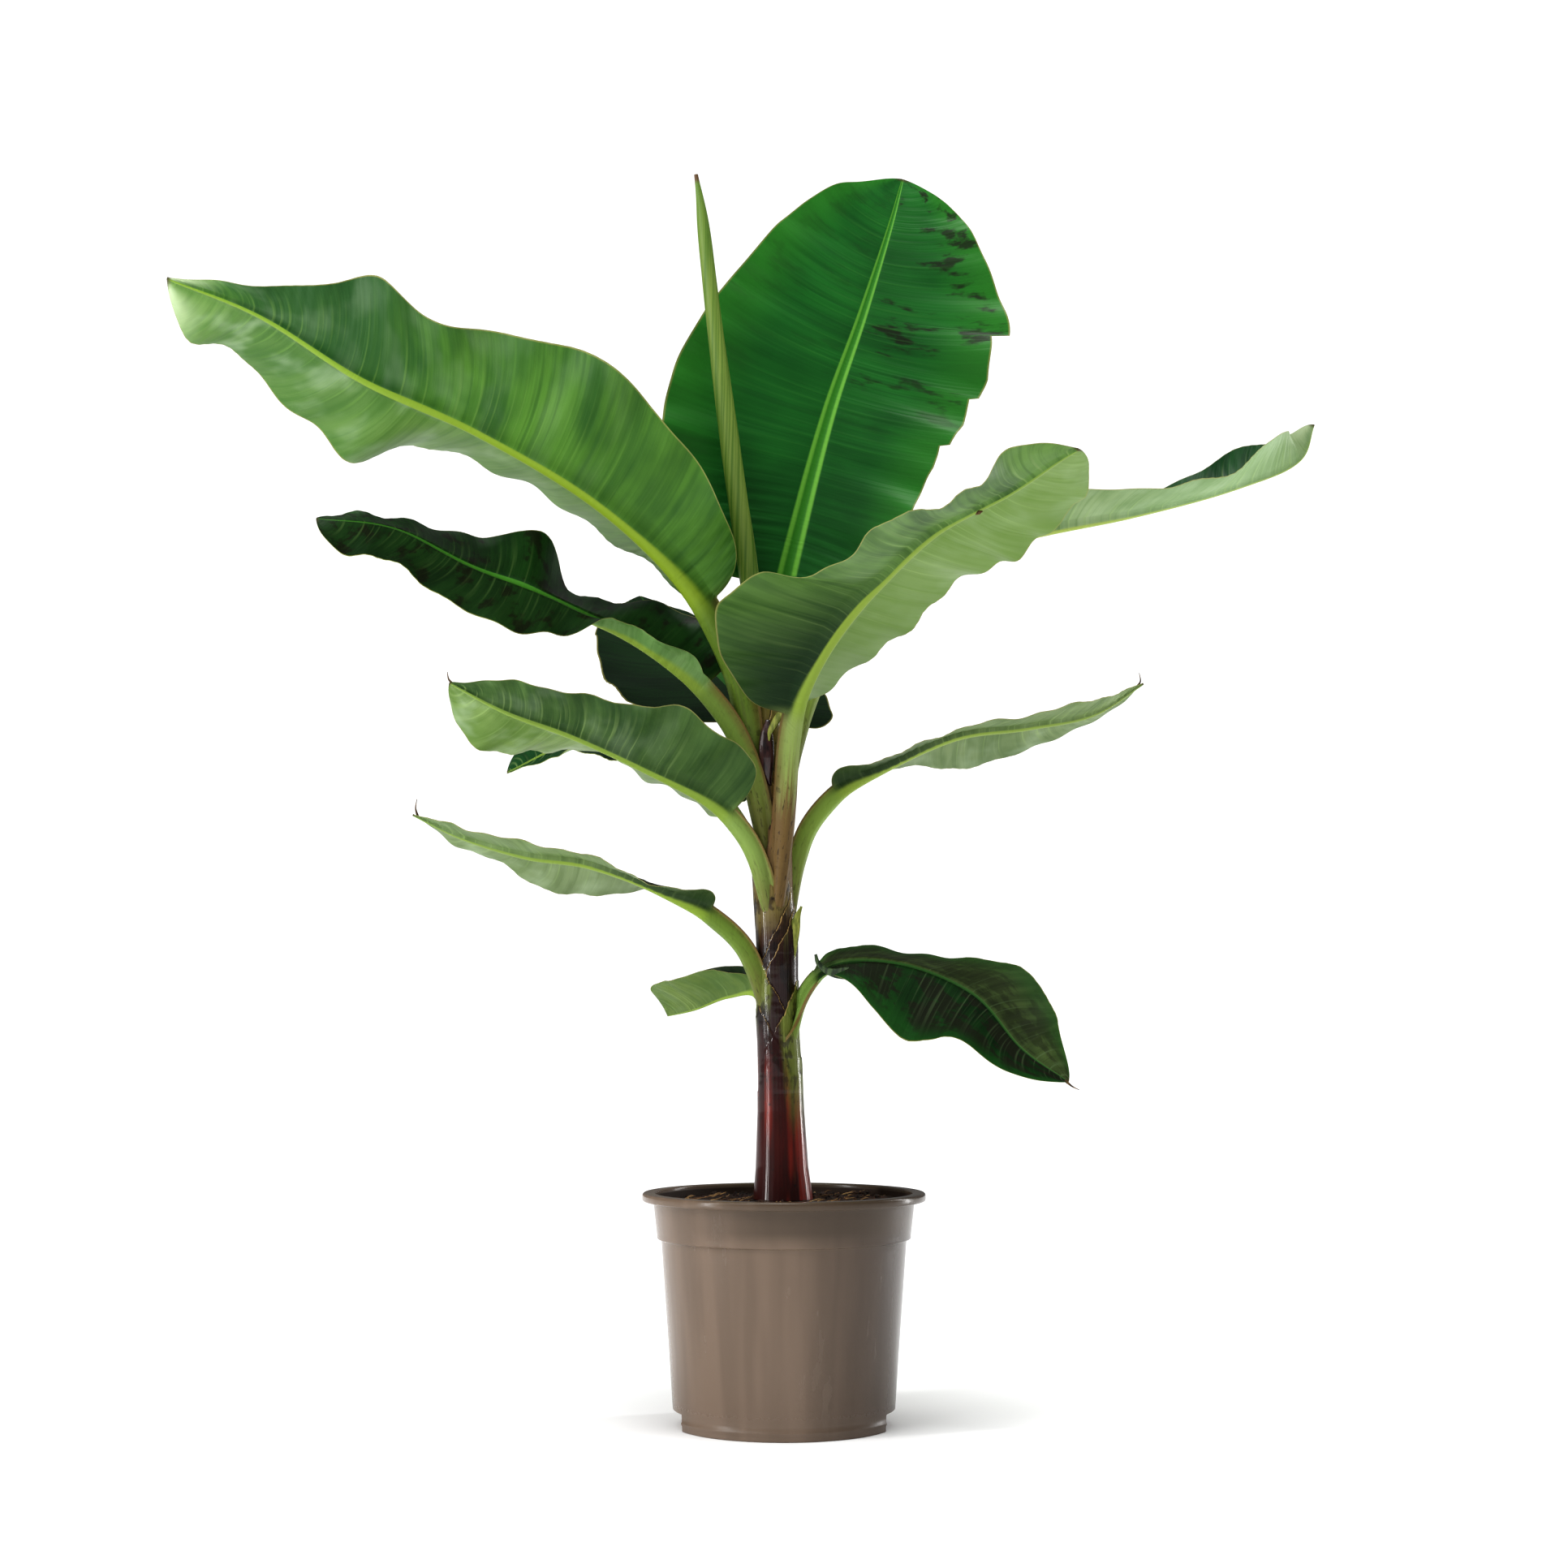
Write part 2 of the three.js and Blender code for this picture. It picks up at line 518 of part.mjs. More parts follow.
/** The earth in the pot, up to just under the lip. */
function rootBall() {
  const inner = POT_WALL + GAP;
  const collarFoot = POT_HEIGHT - COLLAR_HEIGHT;
  const crown = SOIL_TOP + SOIL_CROWN;
  let earth = turned([
    [0, POT_FLOOR + GAP], [FOOT_RADIUS - inner, POT_FLOOR + GAP], [FOOT_RADIUS - inner, FOOT_RING_HEIGHT],
    [BODY_TOP_RADIUS - inner, collarFoot - STEP_HEIGHT], [COLLAR_FOOT_RADIUS - inner, collarFoot],
    [COLLAR_TOP_RADIUS - inner - SOIL_SHOULDER, SOIL_TOP - SOIL_EDGE_DROP], [SOIL_EDGE_RADIUS, SOIL_TOP],
    [SOIL_CROWN_RADIUS, crown], [0, crown],
  ], POT_SIDES);
  for (const wall of notchWalls(GAP)) earth = earth.subtract(wall);
  return toGeometry(earth);
}

const plant = new THREE.Group();

/** Adds one named mesh with its own finish. */
function add(name, geometry, color, roughness) {
  const mesh = new THREE.Mesh(geometry, new THREE.MeshStandardMaterial({ color, roughness, metalness: 0 }));
  mesh.name = name;
  plant.add(mesh);
}

const stemRoom = toSolid(stem(GAP));
add('pot', pot(), 0x877a6c, 0.35);
add('root_ball', rootBall(), 0x2c211a, 0.95);
add('pseudostem', stem(0), 0x5e2b1c, 0.4);
add('rolled_leaf', toGeometry(toSolid(spear(0)).subtract(stemRoom)), 0x96b446, 0.45);

// Each leaf gives way to the stem, the rolled leaf and the leaves before it
const taken = [stemRoom, toSolid(spear(GAP))];
for (const [name, spec] of Object.entries(LEAVES)) {
  let solid = toSolid(leaf(spec, 0));
  for (const other of taken) solid = solid.subtract(other);
  taken.push(toSolid(leaf(spec, GAP)));
  add(name, toGeometry(solid), spec.color, 0.45);
}

export default plant;
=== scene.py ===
# %% [markdown]
# # A young banana plant in a nursery pot
#
# A banana plant has no trunk. Its leaf stalks wrap round one another into a soft column, the
# pseudostem, and each new leaf grows up through the middle, rolled like a cigar, and opens at the
# top. This lesson dresses the plain solids of such a plant: it loads them as a fixed frame, keeps
# their places and sizes, and replaces them with surfaces worked out as whole arrays of points.

import bmesh
import bpy
import numpy as np
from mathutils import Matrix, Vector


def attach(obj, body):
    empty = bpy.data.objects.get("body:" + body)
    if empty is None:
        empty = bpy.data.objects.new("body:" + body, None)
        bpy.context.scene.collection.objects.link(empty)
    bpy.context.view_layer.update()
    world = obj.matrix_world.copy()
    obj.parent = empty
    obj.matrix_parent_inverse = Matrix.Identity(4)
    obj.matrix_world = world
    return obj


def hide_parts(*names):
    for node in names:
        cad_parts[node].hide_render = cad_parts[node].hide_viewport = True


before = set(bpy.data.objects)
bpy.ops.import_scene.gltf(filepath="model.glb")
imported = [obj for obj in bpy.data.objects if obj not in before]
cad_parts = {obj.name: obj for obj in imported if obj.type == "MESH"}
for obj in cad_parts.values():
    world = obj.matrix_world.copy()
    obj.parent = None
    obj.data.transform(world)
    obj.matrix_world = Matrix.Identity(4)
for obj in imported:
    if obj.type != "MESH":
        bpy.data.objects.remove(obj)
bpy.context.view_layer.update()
MM = 0.001
print("solids:", ", ".join(sorted(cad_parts)))

# %% [markdown]
# ## The eye
#
# The camera stands where the photographer stood: 2.25 m in front of the stem, at the height of the
# lowest leaves, tilted a little upwards. The pot's rim, its foot and the ellipse of its mouth fix
# that place. The picture is square, so its focal length in pixels turns into millimetres of lens.

# %% Camera
# Pixels for the photo, metres for the eye and degrees for its tilt.
PHOTO_SIDE = 1932
FOCAL_PIXELS = 3240
SENSOR_MM = 36
EYE = np.array([0.0, -2.25, 0.356])
EYE_TILT = 4.7

eye_data = bpy.data.cameras.new("eye")
eye_data.sensor_width = SENSOR_MM
eye_data.lens = FOCAL_PIXELS / PHOTO_SIDE * SENSOR_MM
eye = bpy.data.objects.new("eye", eye_data)
bpy.context.scene.collection.objects.link(eye)
eye.location = EYE
eye.rotation_euler = (np.radians(90 + EYE_TILT), 0, 0)
bpy.context.scene.camera = eye
print(f"lens {eye_data.lens:.1f} mm")

# %% [markdown]
# ## Shader sums
#
# A pattern on a surface is arithmetic on numbers that change from point to point. One small class
# wraps a socket, so that `1 - mask * 0.5` adds its Math nodes by itself, and one method makes every
# other node: its settings first, then the values or links of its sockets. A colour is then painted
# in layers, each laid over the ones before it by its own share.

# %% Values and finishes


def screen(red, green, blue):
    """An 8-bit screen colour as linear light.

    Each channel c, from 0 to 1, is c / 12.92 when dark, else ((c + 0.055) / 1.055) to the 2.4.
    """
    c = np.array([red, green, blue]) / 255
    light = np.where(c <= 0.04045, c / 12.92, ((c + 0.055) / 1.055) ** 2.4)
    return (*light.tolist(), 1.0)


def operator(operation, reflected=False):
    """The method behind an operator: it adds a Math node, with its two sides swapped if asked."""

    def method(self, other):
        sides = {0: other, 1: self} if reflected else {0: self, 1: other}
        return self.finish.node("ShaderNodeMath", {"operation": operation}, sides)

    return method


class Value:
    """A number that changes over a surface. Each operator on it adds one Math node."""

    __add__, __radd__ = operator("ADD"), operator("ADD", True)
    __sub__, __rsub__ = operator("SUBTRACT"), operator("SUBTRACT", True)
    __mul__, __rmul__ = operator("MULTIPLY"), operator("MULTIPLY", True)

    def __init__(self, finish, socket):
        self.finish = finish
        self.socket = socket

    def fade(self, low, high):
        """0 on low's side and 1 on high's, with a smooth step between the two."""
        sockets = {"Value": self, "From Min": low, "From Max": high}
        return self.finish.node("ShaderNodeMapRange", {"interpolation_type": "SMOOTHSTEP"}, sockets)


class Finish:
    """One material, built up node by node round a Principled shader."""

    def __init__(self, name, **constants):
        self.material = bpy.data.materials.new(name)
        self.material.use_nodes = True
        self.tree = self.material.node_tree
        self.shader = self.tree.nodes["Principled BSDF"]
        for socket, value in constants.items():
            self.shader.inputs[socket.replace("_", " ")].default_value = value

    def node(self, kind, settings=None, sockets=None, output=0):
        """Adds a node: its settings first, then each socket's value or link."""
        made = self.tree.nodes.new(kind)
        for key, value in (settings or {}).items():
            if key == "stops":
                self.set_stops(made.color_ramp.elements, value)
            else:
                setattr(made, key, value)
        for key, value in (sockets or {}).items():
            if isinstance(value, Value):
                self.tree.links.new(value.socket, made.inputs[key])
            else:
                made.inputs[key].default_value = value
        return Value(self, made.outputs[output])

    @staticmethod
    def set_stops(elements, stops):
        """A ramp's stops, each (place, screen colour)."""
        while len(elements) < len(stops):
            elements.new(1.0)
        for element, (place, colour) in zip(elements, stops):
            element.position = place
            element.color = screen(*colour)

    def attribute(self, name):
        return self.node("ShaderNodeAttribute", {"attribute_name": name}, output="Fac")

    def place(self):
        """The point on the object, in metres."""
        return self.node("ShaderNodeTexCoord", output="Object")

    def parts(self, vector):
        """The three parts of a point, each as a Value."""
        split = self.tree.nodes.new("ShaderNodeSeparateXYZ")
        self.tree.links.new(vector.socket, split.inputs[0])
        return [Value(self, output) for output in split.outputs]

    def noise(self, vector, scale, detail=2.0, roughness=0.5):
        sockets = {"Vector": vector, "Scale": scale, "Detail": detail, "Roughness": roughness}
        return self.node("ShaderNodeTexNoise", None, sockets)

    def grain(self, x, y, z, detail=2.0, roughness=0.5):
        """Noise that is read at a point of its own, which may be stretched along any axis."""
        spot = self.node("ShaderNodeCombineXYZ", None, {0: x, 1: y, 2: z})
        return self.noise(spot, 1.0, detail, roughness)

    def ramp(self, value, stops):
        return self.node("ShaderNodeValToRGB", {"stops": stops}, {"Fac": value})

    def mix(self, under, over, share):
        """Two colours mixed by the upper one's share. Each is a Value or a screen colour."""
        under, over = (c if isinstance(c, Value) else screen(*c) for c in (under, over))
        return self.node("ShaderNodeMix", {"data_type": "RGBA"}, {0: share, 6: under, 7: over}, 2)

    def paint(self, colour, *layers):
        """A colour with others laid over it in turn, each as (colour, share)."""
        for over, share in layers:
            colour = self.mix(colour, over, share)
        return colour

    def feed(self, socket, value):
        self.tree.links.new(value.socket, self.shader.inputs[socket])

    def relief(self, height, depth):
        """Dents and ridges by bending the normal. A height of 1 stands out by depth metres."""
        bump = self.node("ShaderNodeBump", None, {"Height": height, "Distance": depth})
        self.feed("Normal", bump)


print("shader sums ready")

# %% [markdown]
# ## Meshes from arrays
#
# Nearly every piece here is a grid of points: rows along the piece, columns across it. Neighbouring
# points make quads, and a tube's ends close round one point each. A closed body whose faces point
# inwards has a negative volume, which is how the helper knows that it has to turn them round.

# %% Grid and mesh helpers


def grid_faces(rows, columns):
    """Quads between the neighbours of a grid whose last column meets its first."""
    r, c = np.meshgrid(np.arange(rows - 1), np.arange(columns), indexing="ij")
    here = r * columns + c
    beside = r * columns + (c + 1) % columns
    return np.stack([here, beside, beside + columns, here + columns], -1).reshape(-1, 4)


def fan_faces(ring, centre):
    """Triangles from each step of a closed ring of point numbers to a centre point."""
    return np.stack([ring, np.roll(ring, -1), np.full(len(ring), centre)], -1)


def capped_tube(grid, ends):
    """A grid whose last column meets its first, closed at each end with one point."""
    rows, columns = grid.shape[:2]
    count = rows * columns
    first, last = np.arange(columns), np.arange(count - columns, count)
    caps = [fan_faces(first[::-1], count), fan_faces(last, count + 1)]
    return np.vstack([grid.reshape(-1, 3), ends]), [grid_faces(rows, columns), *caps]


def volume_of(points, faces):
    """Six times the volume of a closed body, the sum over its triangles of a · (b × c)."""
    total = 0.0
    for group in faces:
        corner = [points[group[:, k]] for k in range(group.shape[1])]
        for k in range(1, group.shape[1] - 1):
            total += np.einsum("ij,ij->", corner[0], np.cross(corner[k], corner[k + 1]))
    return total


SAME_PLACE = 1e-7


def merge_touching(mesh):
    """Makes one point of those at the same place, as at a leaf's tip, so that no face is empty."""
    shape = bmesh.new()
    shape.from_mesh(mesh)
    bmesh.ops.remove_doubles(shape, verts=shape.verts, dist=SAME_PLACE)
    shape.to_mesh(mesh)
    shape.free()


def make_piece(name, points, faces, finishes, slot, replaces=None, finish_of=None, values=None,
               crease=None):
    """A mesh object that rides on the root body, its faces turned outwards and shaded smooth.

    points is an n by 3 array in metres and faces a list of arrays of point numbers. finish_of
    gives a material number for each face of each array, values a number for each point, by name,
    and crease the angle in degrees past which an edge stays sharp.
    """
    if volume_of(points, faces) < 0:
        faces = [group[:, ::-1] for group in faces]
    mesh = bpy.data.meshes.new(name)
    mesh.from_pydata(points.tolist(), [], [face for group in faces for face in group.tolist()])
    for finish in finishes:
        mesh.materials.append(finish.material)
    if finish_of is not None:
        mesh.polygons.foreach_set("material_index", np.concatenate(finish_of).astype(np.int32))
    mesh.polygons.foreach_set("use_smooth", np.ones(len(mesh.polygons), bool))
    for key, value in (values or {}).items():
        layer = mesh.attributes.new(key, "FLOAT", "POINT")
        layer.data.foreach_set("value", np.asarray(value, np.float32).ravel())
    merge_touching(mesh)
    if crease is not None:
        mesh.set_sharp_from_angle(angle=np.radians(crease))
    mesh.update()
    piece = bpy.data.objects.new(name, mesh)
    bpy.context.scene.collection.objects.link(piece)
    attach(piece, "root")
    if replaces:
        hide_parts(replaces)
    print(f"{name}: {len(mesh.vertices)} points, {len(mesh.polygons)} faces")


# %% Smooth steps and smooth lines


def step(low, high, x):
    """0 below low, 1 above high, and 3f² - 2f³ of the fraction f between them."""
    f = np.clip((np.asarray(x, float) - low) / (high - low), 0, 1)
    return f * f * (3 - 2 * f)


def cubic(before, start, end, after, f):
    """The cubic from start to end, read at the fraction f of the way.

    Its slopes at both ends are half the step between the neighbours of that end.
    """
    leave = (end - before) / 2
    reach = (after - start) / 2
    bend = 3 * (end - start) - 2 * leave - reach
    return start + f * (leave + f * (bend + f * (leave + reach - 2 * (end - start))))


def along(values, t):
    """The value at t, from 0 to 1, of a line of such cubics through evenly spaced values."""
    values = np.asarray(values, float)
    last = len(values) - 1
    place = np.clip(t, 0, 1) * last
    i = np.minimum(place.astype(int), last - 1)
    return cubic(*(values[np.clip(i + k, 0, last)] for k in (-1, 0, 1, 2)), place - i)


def unit(vectors):
    """Each vector divided by its own length."""
    return vectors / np.linalg.norm(vectors, axis=-1, keepdims=True)


class Run:
    """A line of cubics through points in space, read by the share of its length.

    Past each end it goes straight on. It is laid out finely once, and then read by its length.
    """

    def __init__(self, points, fine=80):
        ends = np.vstack([2 * points[0] - points[1], points, 2 * points[-1] - points[-2]])
        spans = len(points) - 1
        place = np.linspace(0, spans, spans * fine + 1)
        i = np.minimum(place.astype(int), spans - 1)
        self.line = cubic(*(ends[i + k] for k in range(4)), (place - i)[:, None])
        gaps = np.linalg.norm(np.diff(self.line, axis=0), axis=1)
        self.travelled = np.concatenate([[0], np.cumsum(gaps)])
        self.length = self.travelled[-1]

    def at(self, s):
        """The points at the shares s of the line's length."""
        where = np.clip(s, 0, 1) * self.length
        return np.column_stack([np.interp(where, self.travelled, one) for one in self.line.T])

    def heading(self, s, reach=0.003):
        """The directions at the shares s, from a little before to a little after."""
        return unit(self.at(np.minimum(s + reach, 1)) - self.at(np.maximum(s - reach, 0)))


def seen(points):
    """Points given in millimetres as [across, height, depth], as places in metres.

    Across and height are where the point shows in the plane of the stem, and depth moves it back
    along its own sight line: eye + (shown - eye)(1 + depth / distance of that plane).
    """
    across, height, depth = np.asarray(points, float).T * MM
    shown = np.column_stack([across, np.zeros_like(across), height])
    return EYE + (shown - EYE) * (1 - depth / EYE[1])[:, None]


def rib_frame(run, s, hand, facing=None):
    """The frame round a line at each share s: point, heading, towards the eye, up the picture."""
    point = run.at(s)
    heading = run.heading(s)
    to_eye = unit(EYE - point if facing is None else np.tile(np.array(facing, float), (len(s), 1)))
    to_eye = unit(to_eye - heading * np.sum(to_eye * heading, -1, keepdims=True))
    return point, heading, to_eye, hand * np.cross(to_eye, heading)


def turned(to_eye, up, degrees):
    """The direction at an angle round a line: towards the eye at 0, up the picture at 90."""
    angle = np.radians(degrees)[..., None]
    return to_eye * np.cos(angle) + up * np.sin(angle)


print("helpers ready")

# %% [markdown]
# ## Floor and light
#
# The plant stands in a white studio, between two tall soft boxes and under a broad light. The sky
# of the scene is white where the camera sees it, greyer as a lamp, and darker still in reflections,
# so that waxy leaves keep their deep green. A very soft sun from above lights the floor evenly and
# leaves a short shadow round the pot's foot.

# %% Studio
FLOOR_SIDE = 60.0
CROWN = (0, 0, 0.65)
SKY_SEEN = 1.0
SKY_LIGHT = 0.42
SKY_GLOSS = 0.16
SUN_WIDTH = 28
TALL_BOX = dict(shape="RECTANGLE", size=0.12, size_y=1.5)

floor_finish = Finish("pale_floor", Roughness=0.9, Specular_IOR_Level=0.1)
floor_finish.shader.inputs["Base Color"].default_value = screen(250, 250, 250)
bpy.ops.mesh.primitive_plane_add(size=FLOOR_SIDE, location=(0, 0, 0))
floor = bpy.context.object
floor.name = "pale_floor"
floor.data.materials.append(floor_finish.material)

world = bpy.data.worlds.new("white_room")
world.use_nodes = True
sky = world.node_tree.nodes["Background"]
sky.inputs["Color"].default_value = (1, 1, 1, 1)
rays = world.node_tree.nodes.new("ShaderNodeLightPath")
gloss, seen_by_eye = (world.node_tree.nodes.new("ShaderNodeMapRange") for _ in range(2))
links = world.node_tree.links
gloss.inputs["To Min"].default_value = SKY_LIGHT
gloss.inputs["To Max"].default_value = SKY_GLOSS
seen_by_eye.inputs["To Max"].default_value = SKY_SEEN
links.new(rays.outputs["Is Glossy Ray"], gloss.inputs["Value"])
links.new(gloss.outputs["Result"], seen_by_eye.inputs["To Min"])
links.new(rays.outputs["Is Camera Ray"], seen_by_eye.inputs["Value"])
links.new(seen_by_eye.outputs["Result"], sky.inputs["Strength"])
bpy.context.scene.world = world
bpy.context.scene.view_settings.view_transform = "Standard"
bpy.context.scene.view_settings.look = "Medium High Contrast"


def lamp(kind, name, place, aim, power, **settings):
    """A lamp at a place in metres, facing the point aim. Its power is in watts, a sun's per m²."""
    data = bpy.data.lights.new(name, kind)
    data.energy = power
    for key, value in settings.items():
        setattr(data, key, value)
    made = bpy.data.objects.new(name, data)
    bpy.context.scene.collection.objects.link(made)
    made.location = place
    made.rotation_euler = (Vector(place) - Vector(aim)).to_track_quat("Z", "Y").to_euler()


lamp("SUN", "soft_sun", (-0.02, -0.12, 1.6), (0, 0, 0), 2.3, angle=np.radians(SUN_WIDTH))
lamp("AREA", "left_box", (-1.58, -0.84, 0.75), CROWN, 16, **TALL_BOX)
lamp("AREA", "right_box", (1.62, 0.79, 0.75), CROWN, 14, **TALL_BOX)
lamp("AREA", "top_left_box", (-1.3, -1.5, 2.1), CROWN, 16, size=1.2)
print("studio ready")

# %% [markdown]
# ## Pot
#
# A nursery pot is moulded in one piece from thin plastic, with a rolled lip, a wide collar that
# steps in to the tapering body, and two notches in its foot for the drain. It is a profile turned
# round the upright axis, and the notches push part of its foot inwards. Its finish is a dull taupe
# with soft upright streaks that are painted reflections, painted shade on its right side and on
# the collar, and earth-brown inside the collar.

# %% Pot sizes
POT_HEIGHT = 194 * MM
POT_WALL = 2.4 * MM
POT_FLOOR = 4 * MM
LIP_RADIUS = 120 * MM
LIP_HEIGHT = 7 * MM
COLLAR_TOP_RADIUS = 111 * MM
COLLAR_FOOT_RADIUS = 107.5 * MM
COLLAR_HEIGHT = 36 * MM
COLLAR_FOOT = POT_HEIGHT - COLLAR_HEIGHT
BODY_TOP_RADIUS = 103.7 * MM
FOOT_RADIUS = 93 * MM
NOTCH_HEIGHT = 14 * MM
NOTCH_DEPTH = 9 * MM
NOTCH_HALF_ANGLE = 24
HUB = 4 * MM


def arc(radius, height, size, start, end, count=5):
    """Points of a small arc round (radius, height), from one angle to another in degrees."""
    angle = np.radians(np.linspace(start, end, count))
    return [(radius + size * np.cos(a), height + size * np.sin(a)) for a in angle]


def straight(start, end, count):
    """Evenly spaced points from one profile point to another, the last left out."""
    share = np.linspace(0, 1, count, endpoint=False)[:, None]
    return (np.array(start) + share * (np.array(end) - np.array(start))).tolist()


def turn_profile(profile, columns):
    """A profile of (radius, height) points, repeated at even angles: radii, heights and angles."""
    profile = np.asarray(profile)
    angle = np.linspace(0, 2 * np.pi, columns, endpoint=False)
    radius, height = (np.repeat(profile[:, k:k + 1], columns, 1) for k in (0, 1))
    return radius, height, np.repeat(angle[None], len(profile), 0)


def turned_skin(radius, height, angle):
    """Points at (radius cos angle, radius sin angle, height), closed on the axis at each end."""
    grid = np.stack([radius * np.cos(angle), radius * np.sin(angle), height], -1)
    return capped_tube(grid, [(0, 0, height[0, 0]), (0, 0, height[-1, 0])])


print(f"pot {2 * LIP_RADIUS / MM:.0f} mm wide and {POT_HEIGHT / MM:.0f} mm high")

# %% Pot finish
DUST_TOP = 30 * MM
SHADED_SIDE = 110 * MM
EDGE_BLUR = 0.2 * MM
plastic = Finish("taupe_plastic", Specular_IOR_Level=0.3)
where = plastic.place()
x, y, z = plastic.parts(where)
cloud = plastic.noise(where, 9.0, 3.0)
fine = plastic.noise(where, 420.0)
# Upright streaks, laid into the taupe below as painted reflections.
streaks = plastic.grain(x * 42, y * 42, z * 2.5)
scuff = plastic.grain(x * 60, y * 60, z * 14, 4.0).fade(0.62, 0.74)
dust = z.fade(DUST_TOP, 0.0) * 0.35
collar = z.fade(COLLAR_FOOT - 2 * MM, COLLAR_FOOT + 12 * MM)

# The middle of the collar's wall tells its inner face from its outer one.
wall_slope = (COLLAR_TOP_RADIUS - COLLAR_FOOT_RADIUS) / COLLAR_HEIGHT
wall_middle = (z - COLLAR_FOOT) * wall_slope + (COLLAR_FOOT_RADIUS - POT_WALL / 2)
radius = plastic.node("ShaderNodeMath", {"operation": "SQRT"}, {0: x * x + y * y})
inside = (radius - wall_middle).fade(EDGE_BLUR, -EDGE_BLUR)
inside = inside * z.fade(POT_HEIGHT - 2 * MM, POT_HEIGHT - 4 * MM)
inside = inside * z.fade(COLLAR_FOOT - 0.1 * MM, COLLAR_FOOT + 1 * MM)

plastic.feed("Base Color", plastic.paint(
    # Random clouds and lighter upright streaks; the streaks are painted reflections.
    plastic.mix((99, 84, 71), (115, 98, 84), cloud * 0.4 + streaks.fade(0.38, 0.62) * 0.6),
    # Painted shade: the right side of the pot darkened.
    ((44, 35, 29), x.fade(0.0, SHADED_SIDE) * 0.85),
    ((124, 110, 98), scuff * 0.18 + dust * 0.5),
    # Painted shade: the collar darkened from its left side towards its middle and right.
    ((70, 58, 46), collar * x.fade(-SHADED_SIDE, 0.0) * 0.8),
    ((44, 28, 19), inside * 0.9),
))
plastic.feed("Roughness", 0.2 + fine * 0.06 + scuff * 0.1 + dust * 0.4 + inside * 0.5)
plastic.relief(fine, 0.08 * MM)
print("taupe plastic ready")

# %% Turn the pot
POT_COLUMNS = 288
FLAT_RING = 30 * MM
ROUND = 1.2 * MM
GROOVE = 1.5 * MM
GROOVE_RADIUS = FOOT_RADIUS - 5 * MM
BEAD = 0.9 * MM
SHOULDER = COLLAR_FOOT - 4 * MM
LIP_FOOT = POT_HEIGHT - LIP_HEIGHT
LIP_UNDER = 1.6 * MM
LIP_OVER = 2.4 * MM
NOTCH_BLUR = 0.8
inner_lip = COLLAR_TOP_RADIUS - POT_WALL
pot_profile = [
    (HUB, 0), *straight((FLAT_RING, 0), (GROOVE_RADIUS - 3 * GROOVE, 0), 5),
    *arc(GROOVE_RADIUS, 0, GROOVE, 180, 90, 4),
    *arc(FOOT_RADIUS - ROUND, ROUND, ROUND, 270, 360),
    *straight((FOOT_RADIUS, 2 * ROUND), (FOOT_RADIUS + 0.2 * MM, 6 * MM), 3),
    (FOOT_RADIUS + BEAD, 6.6 * MM), (FOOT_RADIUS + BEAD, 7.6 * MM),
    (FOOT_RADIUS + 0.3 * MM, 8.2 * MM), (FOOT_RADIUS + 0.4 * MM, NOTCH_HEIGHT - 2 * MM),
    (FOOT_RADIUS + 0.5 * MM, NOTCH_HEIGHT - 0.2 * MM),
    (FOOT_RADIUS + 0.5 * MM, NOTCH_HEIGHT + 0.4 * MM),
    *straight((FOOT_RADIUS + 0.7 * MM, NOTCH_HEIGHT + 2 * MM), (BODY_TOP_RADIUS, SHOULDER), 24),
    *arc(BODY_TOP_RADIUS + ROUND, SHOULDER, ROUND, 180, 90, 4),
    *arc(COLLAR_FOOT_RADIUS - ROUND, COLLAR_FOOT - 1.4 * MM, ROUND, 270, 360, 5),
    *straight((COLLAR_FOOT_RADIUS, COLLAR_FOOT + 1 * MM),
              (COLLAR_TOP_RADIUS - 0.5 * MM, LIP_FOOT - GROOVE), 10),
    *arc(COLLAR_TOP_RADIUS + 1 * MM, LIP_FOOT - GROOVE, GROOVE, 180, 90, 4),
    *arc(LIP_RADIUS - LIP_UNDER, LIP_FOOT + LIP_UNDER, LIP_UNDER, 270, 360),
    *arc(LIP_RADIUS - LIP_OVER, POT_HEIGHT - LIP_OVER, LIP_OVER, 0, 90, 7),
    *arc(inner_lip + GROOVE, POT_HEIGHT - GROOVE, GROOVE, 90, 180),
    *straight((inner_lip, POT_HEIGHT - 3 * MM), (COLLAR_FOOT_RADIUS - POT_WALL, COLLAR_FOOT), 6),
    (BODY_TOP_RADIUS - POT_WALL, SHOULDER), (FOOT_RADIUS - POT_WALL, NOTCH_HEIGHT + POT_WALL),
    (FOOT_RADIUS - POT_WALL, POT_FLOOR), (HUB, POT_FLOOR),
]
radius, height, angle = turn_profile(pot_profile, POT_COLUMNS)
from_side = np.degrees(np.abs(np.mod(angle + np.pi / 2, np.pi) - np.pi / 2))
in_notch = step(NOTCH_HALF_ANGLE + NOTCH_BLUR, NOTCH_HALF_ANGLE - NOTCH_BLUR, from_side)
outer_wall = np.arange(len(radius))[:, None] <= np.argmax(height[:, 0])
notch_radius = FOOT_RADIUS - NOTCH_DEPTH

# In the notches the groove under the foot is levelled, and then the wall is pushed inwards.
under_foot = (radius > notch_radius) & (radius < FOOT_RADIUS - ROUND / 2)
at_groove = outer_wall & (height < 2 * MM) & under_foot
low = np.where(outer_wall, height < NOTCH_HEIGHT, height < NOTCH_HEIGHT + POT_WALL)
limit = np.minimum(radius, np.where(outer_wall, notch_radius, notch_radius - POT_WALL))
height = np.where(at_groove, height * (1 - in_notch), height)
radius = np.where(low, radius + in_notch * (limit - radius), radius)
make_piece("nursery_pot", *turned_skin(radius, height, angle), [plastic], "pot_plastic", "pot",
           crease=50)

# %% [markdown]
# ## Earth
#
# Potting earth is dark, fibrous and never flat. Its top is a turned disc whose heights come from
# sums of waves in many directions, and loose crumbs and fibres lie on it.

